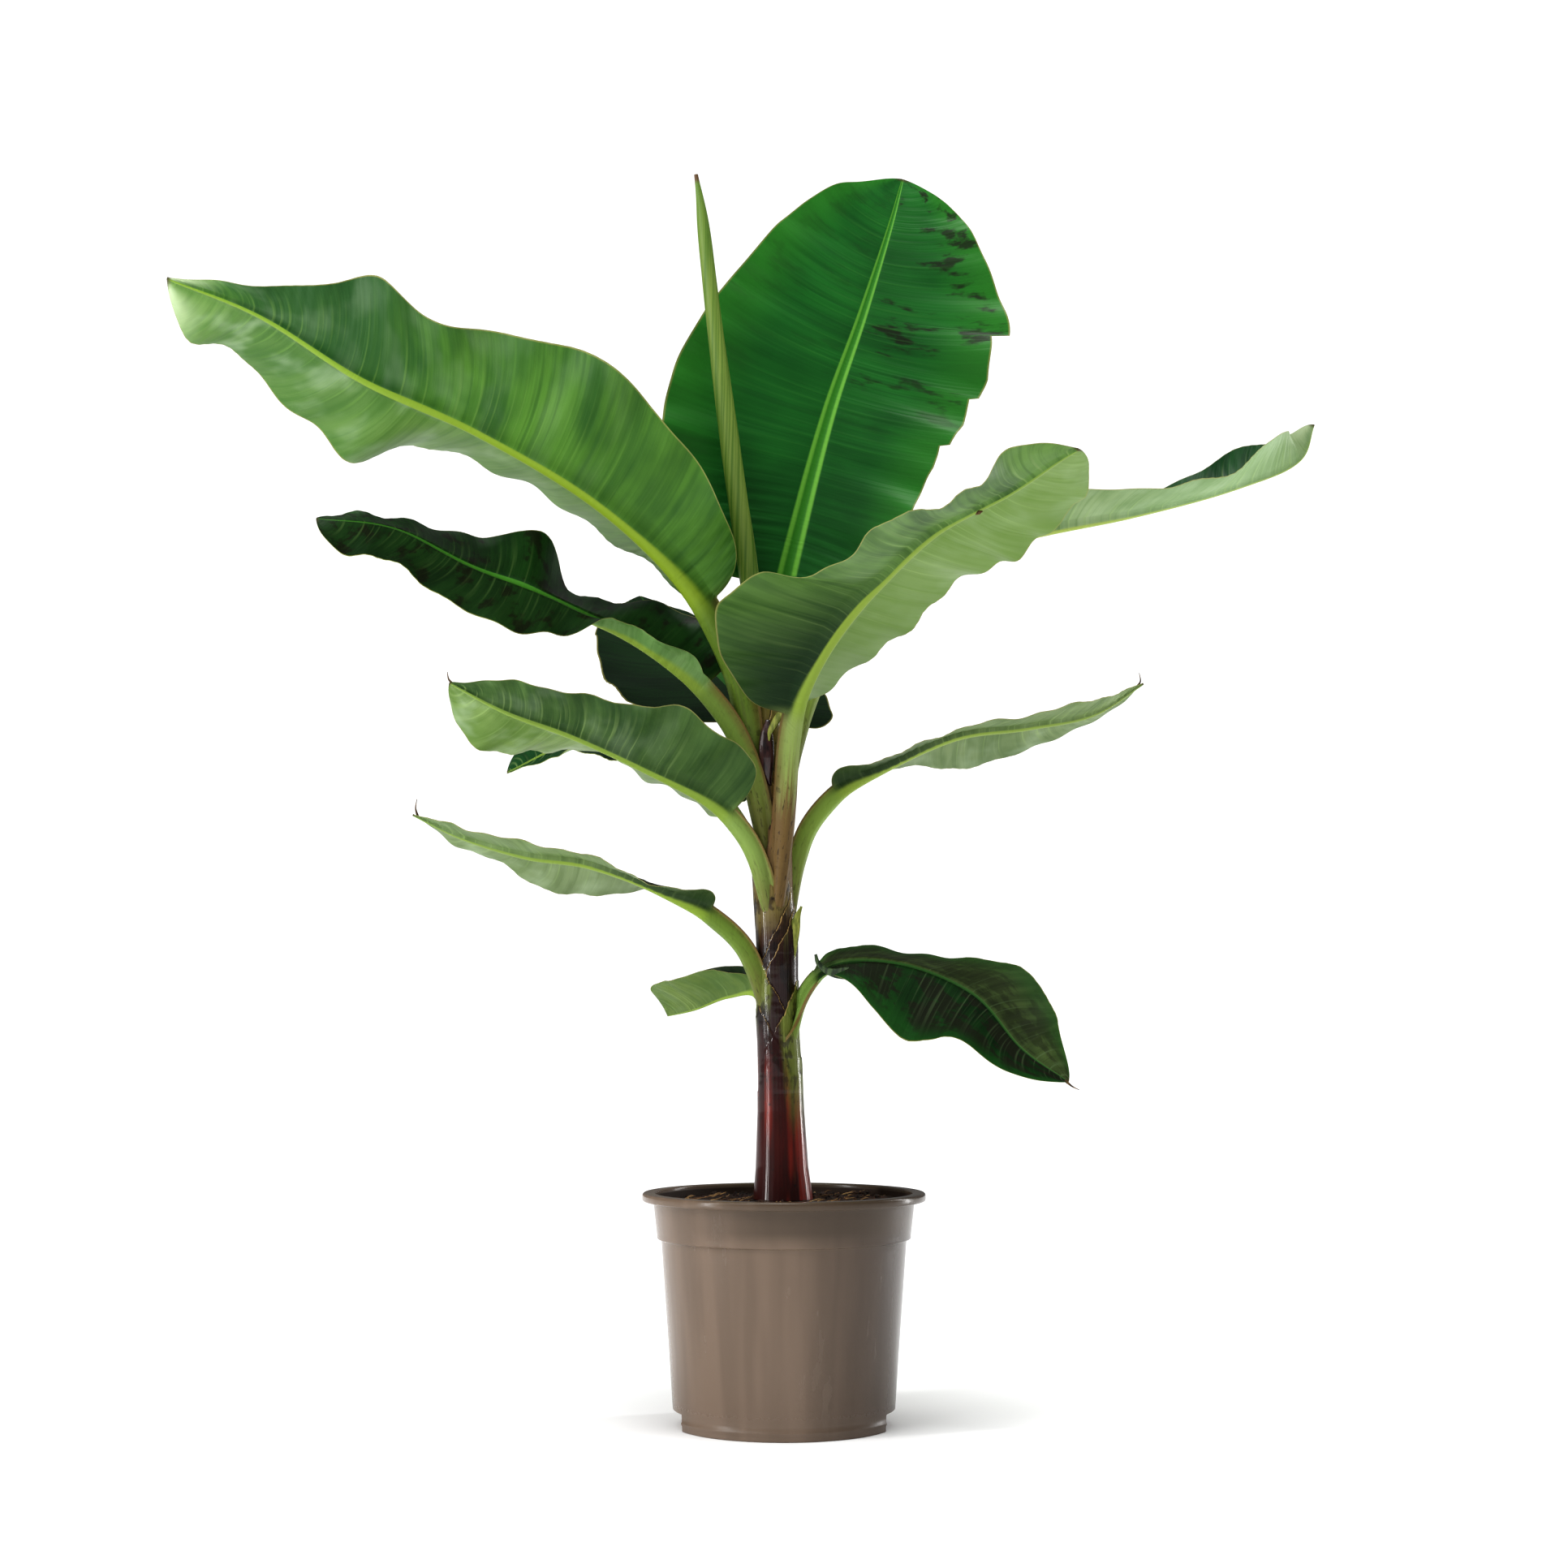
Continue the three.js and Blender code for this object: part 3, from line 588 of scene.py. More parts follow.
# %% Earth finish
earth = Finish("potting_earth")
where = earth.place()
coarse = earth.noise(where, 90.0, 6.0, 0.65)
grain = earth.noise(where, 420.0, 4.0, 0.7)
moist = earth.noise(where, 22.0)
earth.feed("Base Color", earth.paint(
    earth.mix((26, 14, 9), (78, 46, 28), coarse.fade(0.35, 0.75)),
    ((112, 78, 50), grain.fade(0.6, 0.78) * 0.6),
    ((20, 14, 11), moist.fade(0.45, 0.65) * 0.5),
))
earth.feed("Roughness", 0.75 + grain * 0.25)
earth.relief(coarse * 0.6 + grain * 0.4, 4 * MM)
print("potting earth ready")

# %% Earth surface
EARTH_COLUMNS = 240
EARTH_TOP = 184 * MM
EARTH_CROWN = 4 * MM
HEAPED = 2.5 * MM
HEAP_RADIUS = 96 * MM
CROWN_RADIUS = 50 * MM
LUMP_HEIGHT = 2.2 * MM
LUMP_DROP = 1 * MM
SHORTEST_WAVE = 6 * MM
EARTH_GAP = 0.3 * MM


def ground_lumps(x, y, seed=5, waves=28):
    """How far the lumps stand out, in metres.

    It is the sum of sine waves of many lengths in many directions, each weighted by the root of its
    length, scaled to about -1 to 1 and then to the height of a lump.
    """
    draw = np.random.default_rng(seed)
    total = np.zeros_like(x)
    weight = 0.0
    for _ in range(waves):
        length = SHORTEST_WAVE * 2 ** draw.uniform(0, 3)
        heading = draw.uniform(0, 2 * np.pi)
        phase = draw.uniform(0, 2 * np.pi)
        share = length ** 0.5
        along_wave = x * np.cos(heading) + y * np.sin(heading)
        total += share * np.sin(2 * np.pi * along_wave / length + phase)
        weight += share ** 2 / 2
    return LUMP_HEIGHT * total / np.sqrt(weight) / 2 - LUMP_DROP


clear = POT_WALL + EARTH_GAP
edge = COLLAR_TOP_RADIUS - clear - ROUND
foot = notch_radius - 2 * clear
ledge = NOTCH_HEIGHT + POT_WALL + 1 * MM
earth_profile = [
    (HUB, POT_FLOOR + EARTH_GAP), (foot, POT_FLOOR + EARTH_GAP), (foot, ledge),
    (FOOT_RADIUS - clear, ledge + 1 * MM), (BODY_TOP_RADIUS - clear, COLLAR_FOOT - 5 * MM),
    (COLLAR_FOOT_RADIUS - clear - 1 * MM, COLLAR_FOOT + 1 * MM), (edge, EARTH_TOP - 5 * MM),
    *straight((edge, EARTH_TOP + 1 * MM), (HEAP_RADIUS, EARTH_TOP + HEAPED), 6),
    *straight((HEAP_RADIUS, EARTH_TOP + HEAPED), (CROWN_RADIUS, EARTH_TOP + EARTH_CROWN), 24),
    *straight((CROWN_RADIUS, EARTH_TOP + EARTH_CROWN), (3 * MM, EARTH_TOP + EARTH_CROWN), 26),
]
radius, height, angle = turn_profile(earth_profile, EARTH_COLUMNS)
on_top = step(EARTH_TOP - 6 * MM, EARTH_TOP - 2 * MM, height)
height = height + on_top * ground_lumps(radius * np.cos(angle), radius * np.sin(angle))
make_piece("earth_surface", *turned_skin(radius, height, angle), [earth], "earth", "root_ball")

# %% Crumbs and fibres


def crumb_shape():
    """The twelve points and twenty faces of an icosahedron of radius 1."""
    golden = (1 + 5 ** 0.5) / 2
    corners = [(0, a, b * golden) for a in (-1, 1) for b in (-1, 1)]
    points = np.array([np.roll(corner, k) for k in range(3) for corner in corners])
    gaps = np.linalg.norm(points[:, None] - points[None], axis=-1)
    near = np.isclose(gaps, 2)
    count = range(len(points))
    faces = [(i, j, k) for i in count for j in count for k in count
             if i < j < k and near[i, j] and near[j, k] and near[i, k]]
    outwards = [np.dot(points[i], np.cross(points[j], points[k])) > 0 for i, j, k in faces]
    faces = [face if out else face[::-1] for face, out in zip(faces, outwards)]
    return points / np.linalg.norm(points[0]), np.array(faces)


def random_turns(draw, count):
    """Random rotation matrices, from random unit quaternions."""
    w, x, y, z = unit(draw.normal(size=(count, 4))).T
    rows = [[1 - 2 * (y * y + z * z), 2 * (x * y - z * w), 2 * (x * z + y * w)],
            [2 * (x * y + z * w), 1 - 2 * (x * x + z * z), 2 * (y * z - x * w)],
            [2 * (x * z - y * w), 2 * (y * z + x * w), 1 - 2 * (x * x + y * y)]]
    return np.array(rows).transpose(2, 0, 1)


def strewn(count, seed, inside, outside, lift):
    """Places strewn evenly over the earth between two radii, and the random draw that made them."""
    draw = np.random.default_rng(seed)
    radius = np.sqrt(draw.uniform(inside ** 2, outside ** 2, count))
    angle = draw.uniform(0, 2 * np.pi, count)
    x, y = radius * np.cos(angle), radius * np.sin(angle)
    up_slope = np.clip((HEAP_RADIUS - radius) / (HEAP_RADIUS - CROWN_RADIUS), 0, 1)
    height = EARTH_TOP + HEAPED + up_slope * (EARTH_CROWN - HEAPED) + ground_lumps(x, y) + lift
    return np.column_stack([x, y, height]), draw


CRUMBS = 520
SMALLEST_CRUMB = 0.9 * MM
places, draw = strewn(CRUMBS, seed=11, inside=27 * MM, outside=102 * MM, lift=0.2 * MM)
shape, shape_faces = crumb_shape()
size = SMALLEST_CRUMB * 3.0 ** draw.uniform(0, 1, (CRUMBS, 1, 1))
lumps = shape[None] * draw.uniform(0.6, 1.2, (CRUMBS, len(shape), 1)) * size
lumps = lumps * draw.uniform(0.6, 1.3, (CRUMBS, 1, 3))
lumps = np.einsum("nij,nkj->nki", random_turns(draw, CRUMBS), lumps) + places[:, None]
crumb_faces = (shape_faces[None] + np.arange(CRUMBS)[:, None, None] * len(shape)).reshape(-1, 3)
make_piece("earth_crumbs", lumps.reshape(-1, 3), [crumb_faces], [earth], "earth")

FIBRES = 170
FIBRE_RINGS = 6
FIBRE_SIDES = 3
FIBRE_RISE = 1.2 * MM
FIBRE_THICK = 0.35 * MM
FIBRE_END = 0.12 * MM
places, draw = strewn(FIBRES, seed=12, inside=30 * MM, outside=100 * MM, lift=0.9 * MM)
heading = draw.uniform(0, 2 * np.pi, (FIBRES, 1))
length = draw.uniform(6, 17, (FIBRES, 1)) * MM
share = np.linspace(-0.5, 0.5, FIBRE_RINGS)[None]
bow = draw.uniform(-0.25, 0.25, (FIBRES, 1)) * length * (1 - 4 * share ** 2)
cos, sin = np.cos(heading), np.sin(heading)
rise = FIBRE_RISE * np.sin(3 * share + heading)
lines = np.stack([cos * share * length - sin * bow, sin * share * length + cos * bow, rise], -1)
thick = (FIBRE_THICK * (1 - 2 * np.abs(share)) ** 0.5 + FIBRE_END)[..., None]
corner = np.radians([90, 210, 330])
sideways = np.stack([-sin, cos, 0 * sin], -1)[:, :, None] * (np.cos(corner) * thick)[..., None]
upwards = np.array([0, 0, 1]) * (np.sin(corner) * thick)[..., None]
tubes = (lines + places[:, None])[:, :, None] + sideways + upwards
per_fibre = FIBRE_RINGS * FIBRE_SIDES
ends = np.array([[2, 1, 0], [per_fibre - 3, per_fibre - 2, per_fibre - 1]])
steps = np.arange(FIBRES)[:, None, None] * per_fibre
fibre_faces = [(group[None] + steps).reshape(-1, group.shape[1])
               for group in (grid_faces(FIBRE_RINGS, FIBRE_SIDES), ends)]
straw = Finish("straw_fibre", Roughness=0.8)
tone = straw.noise(straw.place(), 60.0, 3.0).fade(0.35, 0.7)
straw.feed("Base Color", straw.mix((96, 62, 36), (186, 148, 98), tone))
make_piece("earth_fibres", tubes.reshape(-1, 3), fibre_faces, [straw], "earth")

# %% [markdown]
# ## Pseudostem
#
# What looks like a trunk is leaf sheaths wrapped round one another. Each sheath starts under its
# own leaf as a narrow band, widens on its way down until it goes all round, and has a thin ragged
# rim. The sheaths of the lower leaves lie outside those of the upper ones. So the relief is worked
# out sheath by sheath, from the innermost outwards, on one grid of points round the stem.

# %% Stem profile
# Each ring is its height, its radius and how far its middle is to the right, in millimetres.
STEM_PROFILE = np.array([
    [188.3, 25.4, -1], [215, 22.4, -1.8], [262, 19.9, -2.6], [320, 18.7, -4], [390, 18, -6.5],
    [460, 17.4, -8.5], [530, 15, -11], [585, 12, -13], [612, 7, -15],
]) * MM
STEM_ROWS = 340
STEM_COLUMNS = 240


def stem_at(height):
    """The stem's radius and middle at each height, along straight runs between its rings."""
    radius, x = (np.interp(height, STEM_PROFILE[:, 0], STEM_PROFILE[:, k]) for k in (1, 2))
    return radius, np.stack([x, 0 * x, np.asarray(height, float)], -1)


level = np.linspace(STEM_PROFILE[0, 0], STEM_PROFILE[-1, 0], STEM_ROWS)
stem_radius, stem_middle = stem_at(level)
bearing = np.arange(STEM_COLUMNS) * 360 / STEM_COLUMNS
print(f"stem from {level[0] / MM:.0f} to {level[-1] / MM:.0f} mm")

# %% Sheaths, from the innermost outwards
# Each is its bearing in degrees, its top in millimetres, its half width at the top in degrees, how
# green it is there, and how far down the green runs in millimetres.
SHEATHS = [
    [10, 614, 60, 0.3, 85], [110, 583, 50, 0.3, 85], [190, 577, 50, 0.3, 85],
    [45, 560, 45, 0.4, 85], [200, 559, 45, 0.4, 85], [150, 500, 30, 0.4, 85],
    [205, 488, 60, 0.3, 60], [10, 458, 25, 0.2, 60], [352, 437, 13, 0.3, 60],
    [180, 396, 27, 1, 75], [135, 384, 20, 0.9, 75], [350, 373, 15, 1, 190],
]
SPREAD = 1.76
SHEATH_RIM = 0.55 * MM
SHEATH_BACK = 0.7 * MM
RIM_WIDTH = 0.8 * MM
BACK_WIDTH = 14 * MM
BARE_INSIDE = 20 * MM
SHADOW_LINE = 0.9 * MM
RIMS_RISE = (290, 345)
GREEN_FADE = 20
GREEN_SIDES = (100, 45)
AGE_STEP = 2.4


def ragged(height, number):
    """The raggedness of a sheath's edge in degrees: three sines of the height in millimetres."""
    coarse = 2 * np.sin(height * 0.31 + number)
    return coarse + 0.9 * np.sin(height * 0.9 + 2 * number) + 0.3 * np.sin(height * 2.3)


high = level[:, None] / MM
rim_height = SHEATH_RIM * step(*RIMS_RISE, high)
relief, green_share, age, shadow = (np.zeros((STEM_ROWS, STEM_COLUMNS)) for _ in range(4))
inside_rim = np.full_like(relief, BARE_INSIDE)
for number, (azimuth, top, half, green, green_run) in enumerate(SHEATHS):
    away = np.abs((bearing[None] - azimuth + 180) % 360 - 180)
    reach = half + SPREAD * (top - high) + ragged(high, number)
    inside = np.radians(np.where(reach < 180, reach - away, 180)) * stem_radius[:, None]
    covers = (inside > 0) & (high < top)
    rise = rim_height * step(0, RIM_WIDTH, inside) + SHEATH_BACK * step(0, BACK_WIDTH, inside)
    relief += np.where(covers, rise, 0)
    inside_rim = np.where(covers, inside, inside_rim)
    tinted = green * step(top - green_run, top - GREEN_FADE, high) * step(*GREEN_SIDES, away)
    green_share = np.where(covers, tinted, green_share)
    age = np.where(covers, 0.5 + 0.5 * np.sin(AGE_STEP * number), age)
    # Painted shadow: points just outside a sheath's edge, not covered by it, are marked to be
    # darkened.
    shadow = np.where(covers, 0, np.where((inside > -SHADOW_LINE) & (high < top), 1, shadow))
relief -= relief.mean(1, keepdims=True)
print(f"sheaths stand {relief.min() / MM:.1f} to {relief.max() / MM:.1f} mm from the mean surface")

# %% Stem surface
RIDGES = 46
RIDGE_DEPTH = 0.05 * MM
FLUTES = 3
FLUTE_DEPTH = 0.25 * MM
FLUTE_TWIST = 0.012
turn = np.radians(bearing)[None]
ridges = RIDGE_DEPTH * np.sin(RIDGES * turn + 3 * np.sin(5 * turn))
flutes = FLUTE_DEPTH * np.sin(FLUTES * turn + high * FLUTE_TWIST)
reach = stem_radius[:, None] + relief + ridges + flutes
around = np.stack([reach * np.cos(turn), reach * np.sin(turn), 0 * reach], -1)
stem_points, stem_faces = capped_tube(around + stem_middle[:, None], stem_middle[[0, -1]])
print(f"stem skin with {len(stem_points)} points")

# %% [markdown]
# ## Stem finish
#
# Its colour runs from glossy maroon at the foot, through a nearly black blotched zone, to olive and
# tan below the crown, and each outer sheath is green where its leaf leaves it. The numbers that the
# shape has kept for each point, such as how far it is from a rim, drive the colours.

# %% Stem skin
maroon = Finish("stem_sheath_skin", Specular_IOR_Level=0.15, Coat_Weight=0.35, Coat_Roughness=0.06)
where = maroon.place()
x, y, z = maroon.parts(where)
rim_gap, green_here, age_here, dim = (
    maroon.attribute(key) for key in ("rim_gap", "green", "age", "dim"))
streaks = maroon.grain(x * 190, y * 190, z * 7, 4.0, 0.6)
wide_streaks = maroon.grain(x * 70, y * 70, z * 2.5)
blots = maroon.grain(x * 80, y * 80, z * 34, 5.0, 0.65)
patch = maroon.grain(x * 26, y * 26, z * 14, 3.0)
flecks = maroon.grain(x * 150, y * 150, z * 80, 3.0)
specks = maroon.noise(where, 300.0)
level_here = z + (patch - 0.5) * 0.05 + (age_here - 0.5) * 0.012
bands = maroon.ramp((level_here - 0.18) * 2.3, [
    (0.00, (48, 10, 7)), (0.14, (62, 12, 8)), (0.28, (42, 9, 8)), (0.40, (32, 11, 10)),
    (0.51, (32, 13, 11)), (0.555, (60, 42, 26)), (0.60, (100, 88, 48)), (0.76, (104, 78, 46)),
    (1.00, (108, 100, 50)),
])
blotched = z.fade(0.25, 0.33) * z.fade(0.62, 0.44)
rim = rim_gap.fade(1.3 * MM, 0.4 * MM) * z.fade(0.325, 0.345)
maroon.feed("Base Color", maroon.paint(
    bands,
    ((150, 40, 22), wide_streaks.fade(0.54, 0.66) * z.fade(0.33, 0.27) * 0.6),
    ((40, 16, 14), streaks.fade(0.50, 0.34) * 0.45),
    ((92, 100, 42), (green_here + (patch - 0.5) * 0.5).fade(0.25, 0.75)),
    ((142, 160, 84), streaks.fade(0.52, 0.70) * green_here * 0.4),
    ((36, 25, 16), flecks.fade(0.54, 0.64) * z.fade(0.24, 0.30) * 0.7),
    ((20, 12, 11), blots.fade(0.52, 0.64) * blotched * 0.9),
    ((24, 16, 13), specks.fade(0.66, 0.72) * 0.7),
    ((160, 132, 82), rim * 0.85),
    # Painted shadow: a thin dark line just outside each sheath's edge.
    ((18, 10, 9), dim * z.fade(0.31, 0.34) * 0.75),
))
maroon.feed("Roughness", 0.3 + blots * 0.2 + rim * 0.25)
maroon.relief(streaks * 0.5 + blots * 0.5, 0.5 * MM)
stem_values = {"rim_gap": inside_rim, "green": green_share, "age": age, "dim": shadow}
stem_values = {key: np.append(value.ravel(), [0, 0]) for key, value in stem_values.items()}
make_piece("stem_sheaths", stem_points, stem_faces, [maroon], "stem_skin", "pseudostem",
           values=stem_values, crease=40)

# %% [markdown]
# ## Leaf skin
#
# A banana leaf has one strong midrib, and from it hundreds of fine parallel veins run to the
# margins. The upper side is a deep waxy green, the underside paler under a whitish bloom, and the
# rib yellow-green. Each point of a leaf carries where it stands: its run along the rib in metres,
# its share of the way out to the margin, negative on half a, its distance in rib radii, and its
# share of the blade's length, negative on the stalk. Veins are then stripes in the run.

# %% Leaf finishes
# Veins, the pleats' painted shade and highlight stripes, and bands are counted per metre of the
# rib, and colours are screen colours.
VEIN_SWEEP = 0.012
FINE_VEINS = 420
CLEAR_VEINS = 300
PLEAT_SHADING_STRIPES = 150
BROAD_BANDS = 34
DRY_EDGE = (104, 62, 42)
HEM = (146, 140, 84)
WAX = (178, 196, 168)
WHITISH = (184, 200, 160)
DEEP_SHADE = (10, 38, 14)
STAIN = (26, 27, 18)
SPECK = (34, 24, 18)
DRY_END = (70, 66, 36)


def leaf_finish(name, a, b=None, rib=(128, 152, 60), groove=None, line=(150, 176, 108), vein=0.25,
                bands=0.5, painted_backlight=None, tip=None, bloom=0.0, shade=0.0, blotch=0.0, stain_from=-1.0,
                stain_size=(62, 2.0), stain_reach=1.4, clean_half=0.0, rib_share=0.8,
                rib_starts=-0.3, stalk=(108, 132, 62), foot=(92, 84, 44), foot_share=0.75,
                aged=(-0.10, -0.38), sheen=0.38, gloss=0.15):
    """The skin of one side of a leaf.

    a and b are the dark and the light green of each half, b like a if it is left out. Where the
    halves differ, the difference is partly painted light and shade, as they catch the light
    differently. rib and groove colour the midrib and its middle, and line the fine veins, as clear
    as vein says. bands says how much of the green's change lies in broad bands. glow paints light
    shining through the outer part of the blade, tip colours a band before its whitish outer end,
    and bloom powders it with wax. shade paints shade over its base. blotch stains it from
    stain_from on and out to stain_reach, in spots whose counts along and across are stain_size,
    fewer on half b by clean_half. The midrib shows over rib_share of its width, from rib_starts
    on. The stalk has its own colour, a dry edge, and an older foot that sets in between the two
    places aged. sheen is the least roughness, gloss the reflection.
    """
    leaf = Finish(name, Specular_IOR_Level=gloss)
    run, across, ribs, blade = (leaf.attribute(key) for key in ("run", "across", "ribs", "blade"))
    outward = leaf.node("ShaderNodeMath", {"operation": "ABSOLUTE"}, {0: across})
    side = across.fade(-0.01, 0.01)
    fan = run - outward * outward * VEIN_SWEEP
    fine = leaf.grain(fan * FINE_VEINS, across * 0.7, 0.0)
    lines = leaf.grain(fan * CLEAR_VEINS, across * 0.4, 6.0, 1.0)
    broad = leaf.grain(fan * BROAD_BANDS, across * 1.3, 4.0)
    pleat_shading = leaf.grain(fan * PLEAT_SHADING_STRIPES, across * 0.3, 12.0)
    clouds = leaf.noise(leaf.place(), 8.0)
    # Where the two halves differ in green, the difference is partly painted light and shade.
    dark, light = (leaf.mix(a[k], (b or a)[k], side) for k in (0, 1))
    green = leaf.paint(
        leaf.mix(dark, light, (broad * bands + clouds * (1 - bands)).fade(0.32, 0.68)),
        (dark, fine.fade(0.50, 0.30) * 0.3),
        # Painted highlight and shade of the fine pleats, in light and dark stripes.
        (light, pleat_shading.fade(0.50, 0.34) * 0.35),
        (dark, pleat_shading.fade(0.50, 0.66) * 0.5),
    )
    # Painted light: a lighter green over the blade's outer part, as light shining through it.
    if painted_backlight:
        green = leaf.mix(green, painted_backlight, outward.fade(0.45, 1.0) * (0.2 + clouds * 0.6))
    if tip:
        band = blade.fade(0.5, 0.72) * blade.fade(0.96, 0.84) * (0.9 - side * 0.5)
        end = blade.fade(0.90, 1.0) * outward.fade(0.1, 0.8) * 0.75
        green = leaf.paint(green, (tip, band), (WHITISH, end))
    if bloom:
        dusty = leaf.grain(fan * 40, across * 1.6, 9.0).fade(0.44, 0.76) * blade.fade(0.1, 0.5)
        green = leaf.mix(green, WAX, dusty * (0.35 + side * 0.65) * bloom)
    # Painted shade: the blade's base darkened, on half a more than on half b.
    if shade:
        deep = (blade + outward * 0.22).fade(0.60, 0.14)
        green = leaf.mix(green, DEEP_SHADE, deep * (1 - side * 0.9) * shade)
    if blotch:
        limit = 0.64 - 0.17 * blotch
        stain = leaf.grain(fan * stain_size[0], across * stain_size[1], 2.0, 4.0, 0.6)
        stains = stain.fade(limit, limit + 0.10) * outward.fade(0.02, 0.10)
        stains = stains * blade.fade(stain_from - 0.1, stain_from + 0.15)
        stains = stains * outward.fade(stain_reach, stain_reach - 0.4)
        green = leaf.mix(green, STAIN, stains * (1 - side * clean_half) * 0.85)
    veins = lines.fade(0.54, 0.70) * outward.fade(1.0, 0.1) * (0.3 + blade.fade(0.1, 0.5)) * vein
    green = leaf.paint(green, (line, veins), (HEM, outward.fade(0.982, 0.996) * 0.6))

    near = ribs * (1 + blade.fade(0.0, 0.25) * (1 / rib_share - 1))
    on_rib = near.fade(1.10, 0.80) * blade.fade(rib_starts - 0.25, rib_starts + 0.15)
    crest = leaf.mix(rib, groove or rib, near.fade(0.62, 0.30))
    crest = leaf.mix(crest, light, blade.fade(0.15, 1.05) * 0.45)
    mottle = leaf.grain(run * 16, ribs * 4.0, across * 4.0, 3.0)
    specks = leaf.grain(run * 110, ribs * 3.0, across * 9.0, 4.0, 0.6).fade(0.58, 0.66)
    old = (blade + (mottle - 0.5) * 0.25).fade(*aged)
    cane = leaf.paint(
        leaf.mix(stalk, rib, mottle * 0.5),
        (DRY_EDGE, outward.fade(0.70, 0.95) * 0.75),
        (foot, old * foot_share),
        (SPECK, specks * (0.15 + old * 0.6)),
    )
    leaf.feed("Base Color", leaf.paint(
        green, (crest, on_rib), (cane, blade.fade(0.03, -0.03)), (DRY_END, blade.fade(0.990, 1.0))))
    leaf.feed("Roughness", sheen + fine * 0.1 + broad * 0.08)
    leaf.relief(fine * 0.3 + lines * 0.7, 0.5 * MM)
    return leaf


print("leaf finishes ready")

# %% [markdown]
# ## Leaf shape
#
# A leaf is one closed skin swept along its rib. At every place of the rib its two halves leave at
# their own angles, cup a little, and end at their own widths, so the same function gives the flat
# upright leaf, the folded ones and the drooping ones. The upper face is that surface itself. The
# lower face lies half a millimetre under it, with the round keel of the midrib added.

# %% Leaf proportions
BLADE_THICK = 0.55 * MM
STALK_THICK = 2.2 * MM
STALK_WING = 3 * MM
THINS_OUT = (-0.06, 0.05)
RIB_END = 0.9 * MM
RIB_DEPTH = 1.15
KEEL_WIDTH = 1.12
GROOVE_DEPTH = 0.35
FOOT_LENGTH = 0.6
FOOT_RADIUS_SHARE = 0.5
FOOT_WIDTH = 6 * MM
CLASP_ANGLE = 66
CLASP_CURL = 40
CLASP_STARTS = 0.3
CLASP_FULL = 0.9
RING_SPACING = 2.4 * MM
STALK_SPACING = 1.6 * RING_SPACING
RING_CROWDING = 0.06
RIB_STEPS = np.linspace(0, 1, 7)
BLADE_STEPS = 1 - (1 - np.linspace(0, 1, 23)[1:]) ** 1.25
PLEAT_LENGTH = 9 * MM
PLEAT_HEIGHT = 0.28 * MM
PLEAT_FADE = (0.03, 0.2)
PLEAT_DRIFT = 31
HALF_PHASE = 1.7
SMALL_WAVE = (0.6, 2.3, 2.1)


def ring_places(blade_from, length):
    """Shares of a leaf's length for its rings: even on the stalk, closer at the blade's ends."""
    rings = max(int(blade_from * length / STALK_SPACING), 12)
    stalk = np.linspace(0, blade_from, rings, endpoint=False)
    even = np.linspace(0, 1, int((1 - blade_from) * length / RING_SPACING))
    t = even - RING_CROWDING * np.sin(2 * np.pi * even)
    return np.concatenate([stalk, blade_from + (1 - blade_from) * t])


def end_rounding(t, leaf):
    """How full the outline is: a quarter ellipse up to base, and a blunt power curve after tip."""
    near_base = 1 - np.clip(t / leaf["base"], 0, 1)
    near_tip = np.clip((t - leaf["tip"]) / (1 - leaf["tip"]), 0, 1)
    fullness = np.sqrt(np.clip(1 - near_base ** 2, 0, 1))
    return np.where(t > 0, fullness * np.clip(1 - near_tip ** leaf["blunt"], 0, 1) ** 0.7, 0)


def torn_share(t, tears):
    """What tears leave of the width: each takes its whole depth at once and gives it back evenly.

    A tear is (where it is deepest, where it has closed, depth), so its second place may be lower.
    """
    share = np.ones_like(t)
    for start, end, depth in tears:
        left = (end - t) / (end - start)
        share -= np.where((left > 0) & (left <= 1), depth * left, 0)
    return share


# %% Half of a leaf


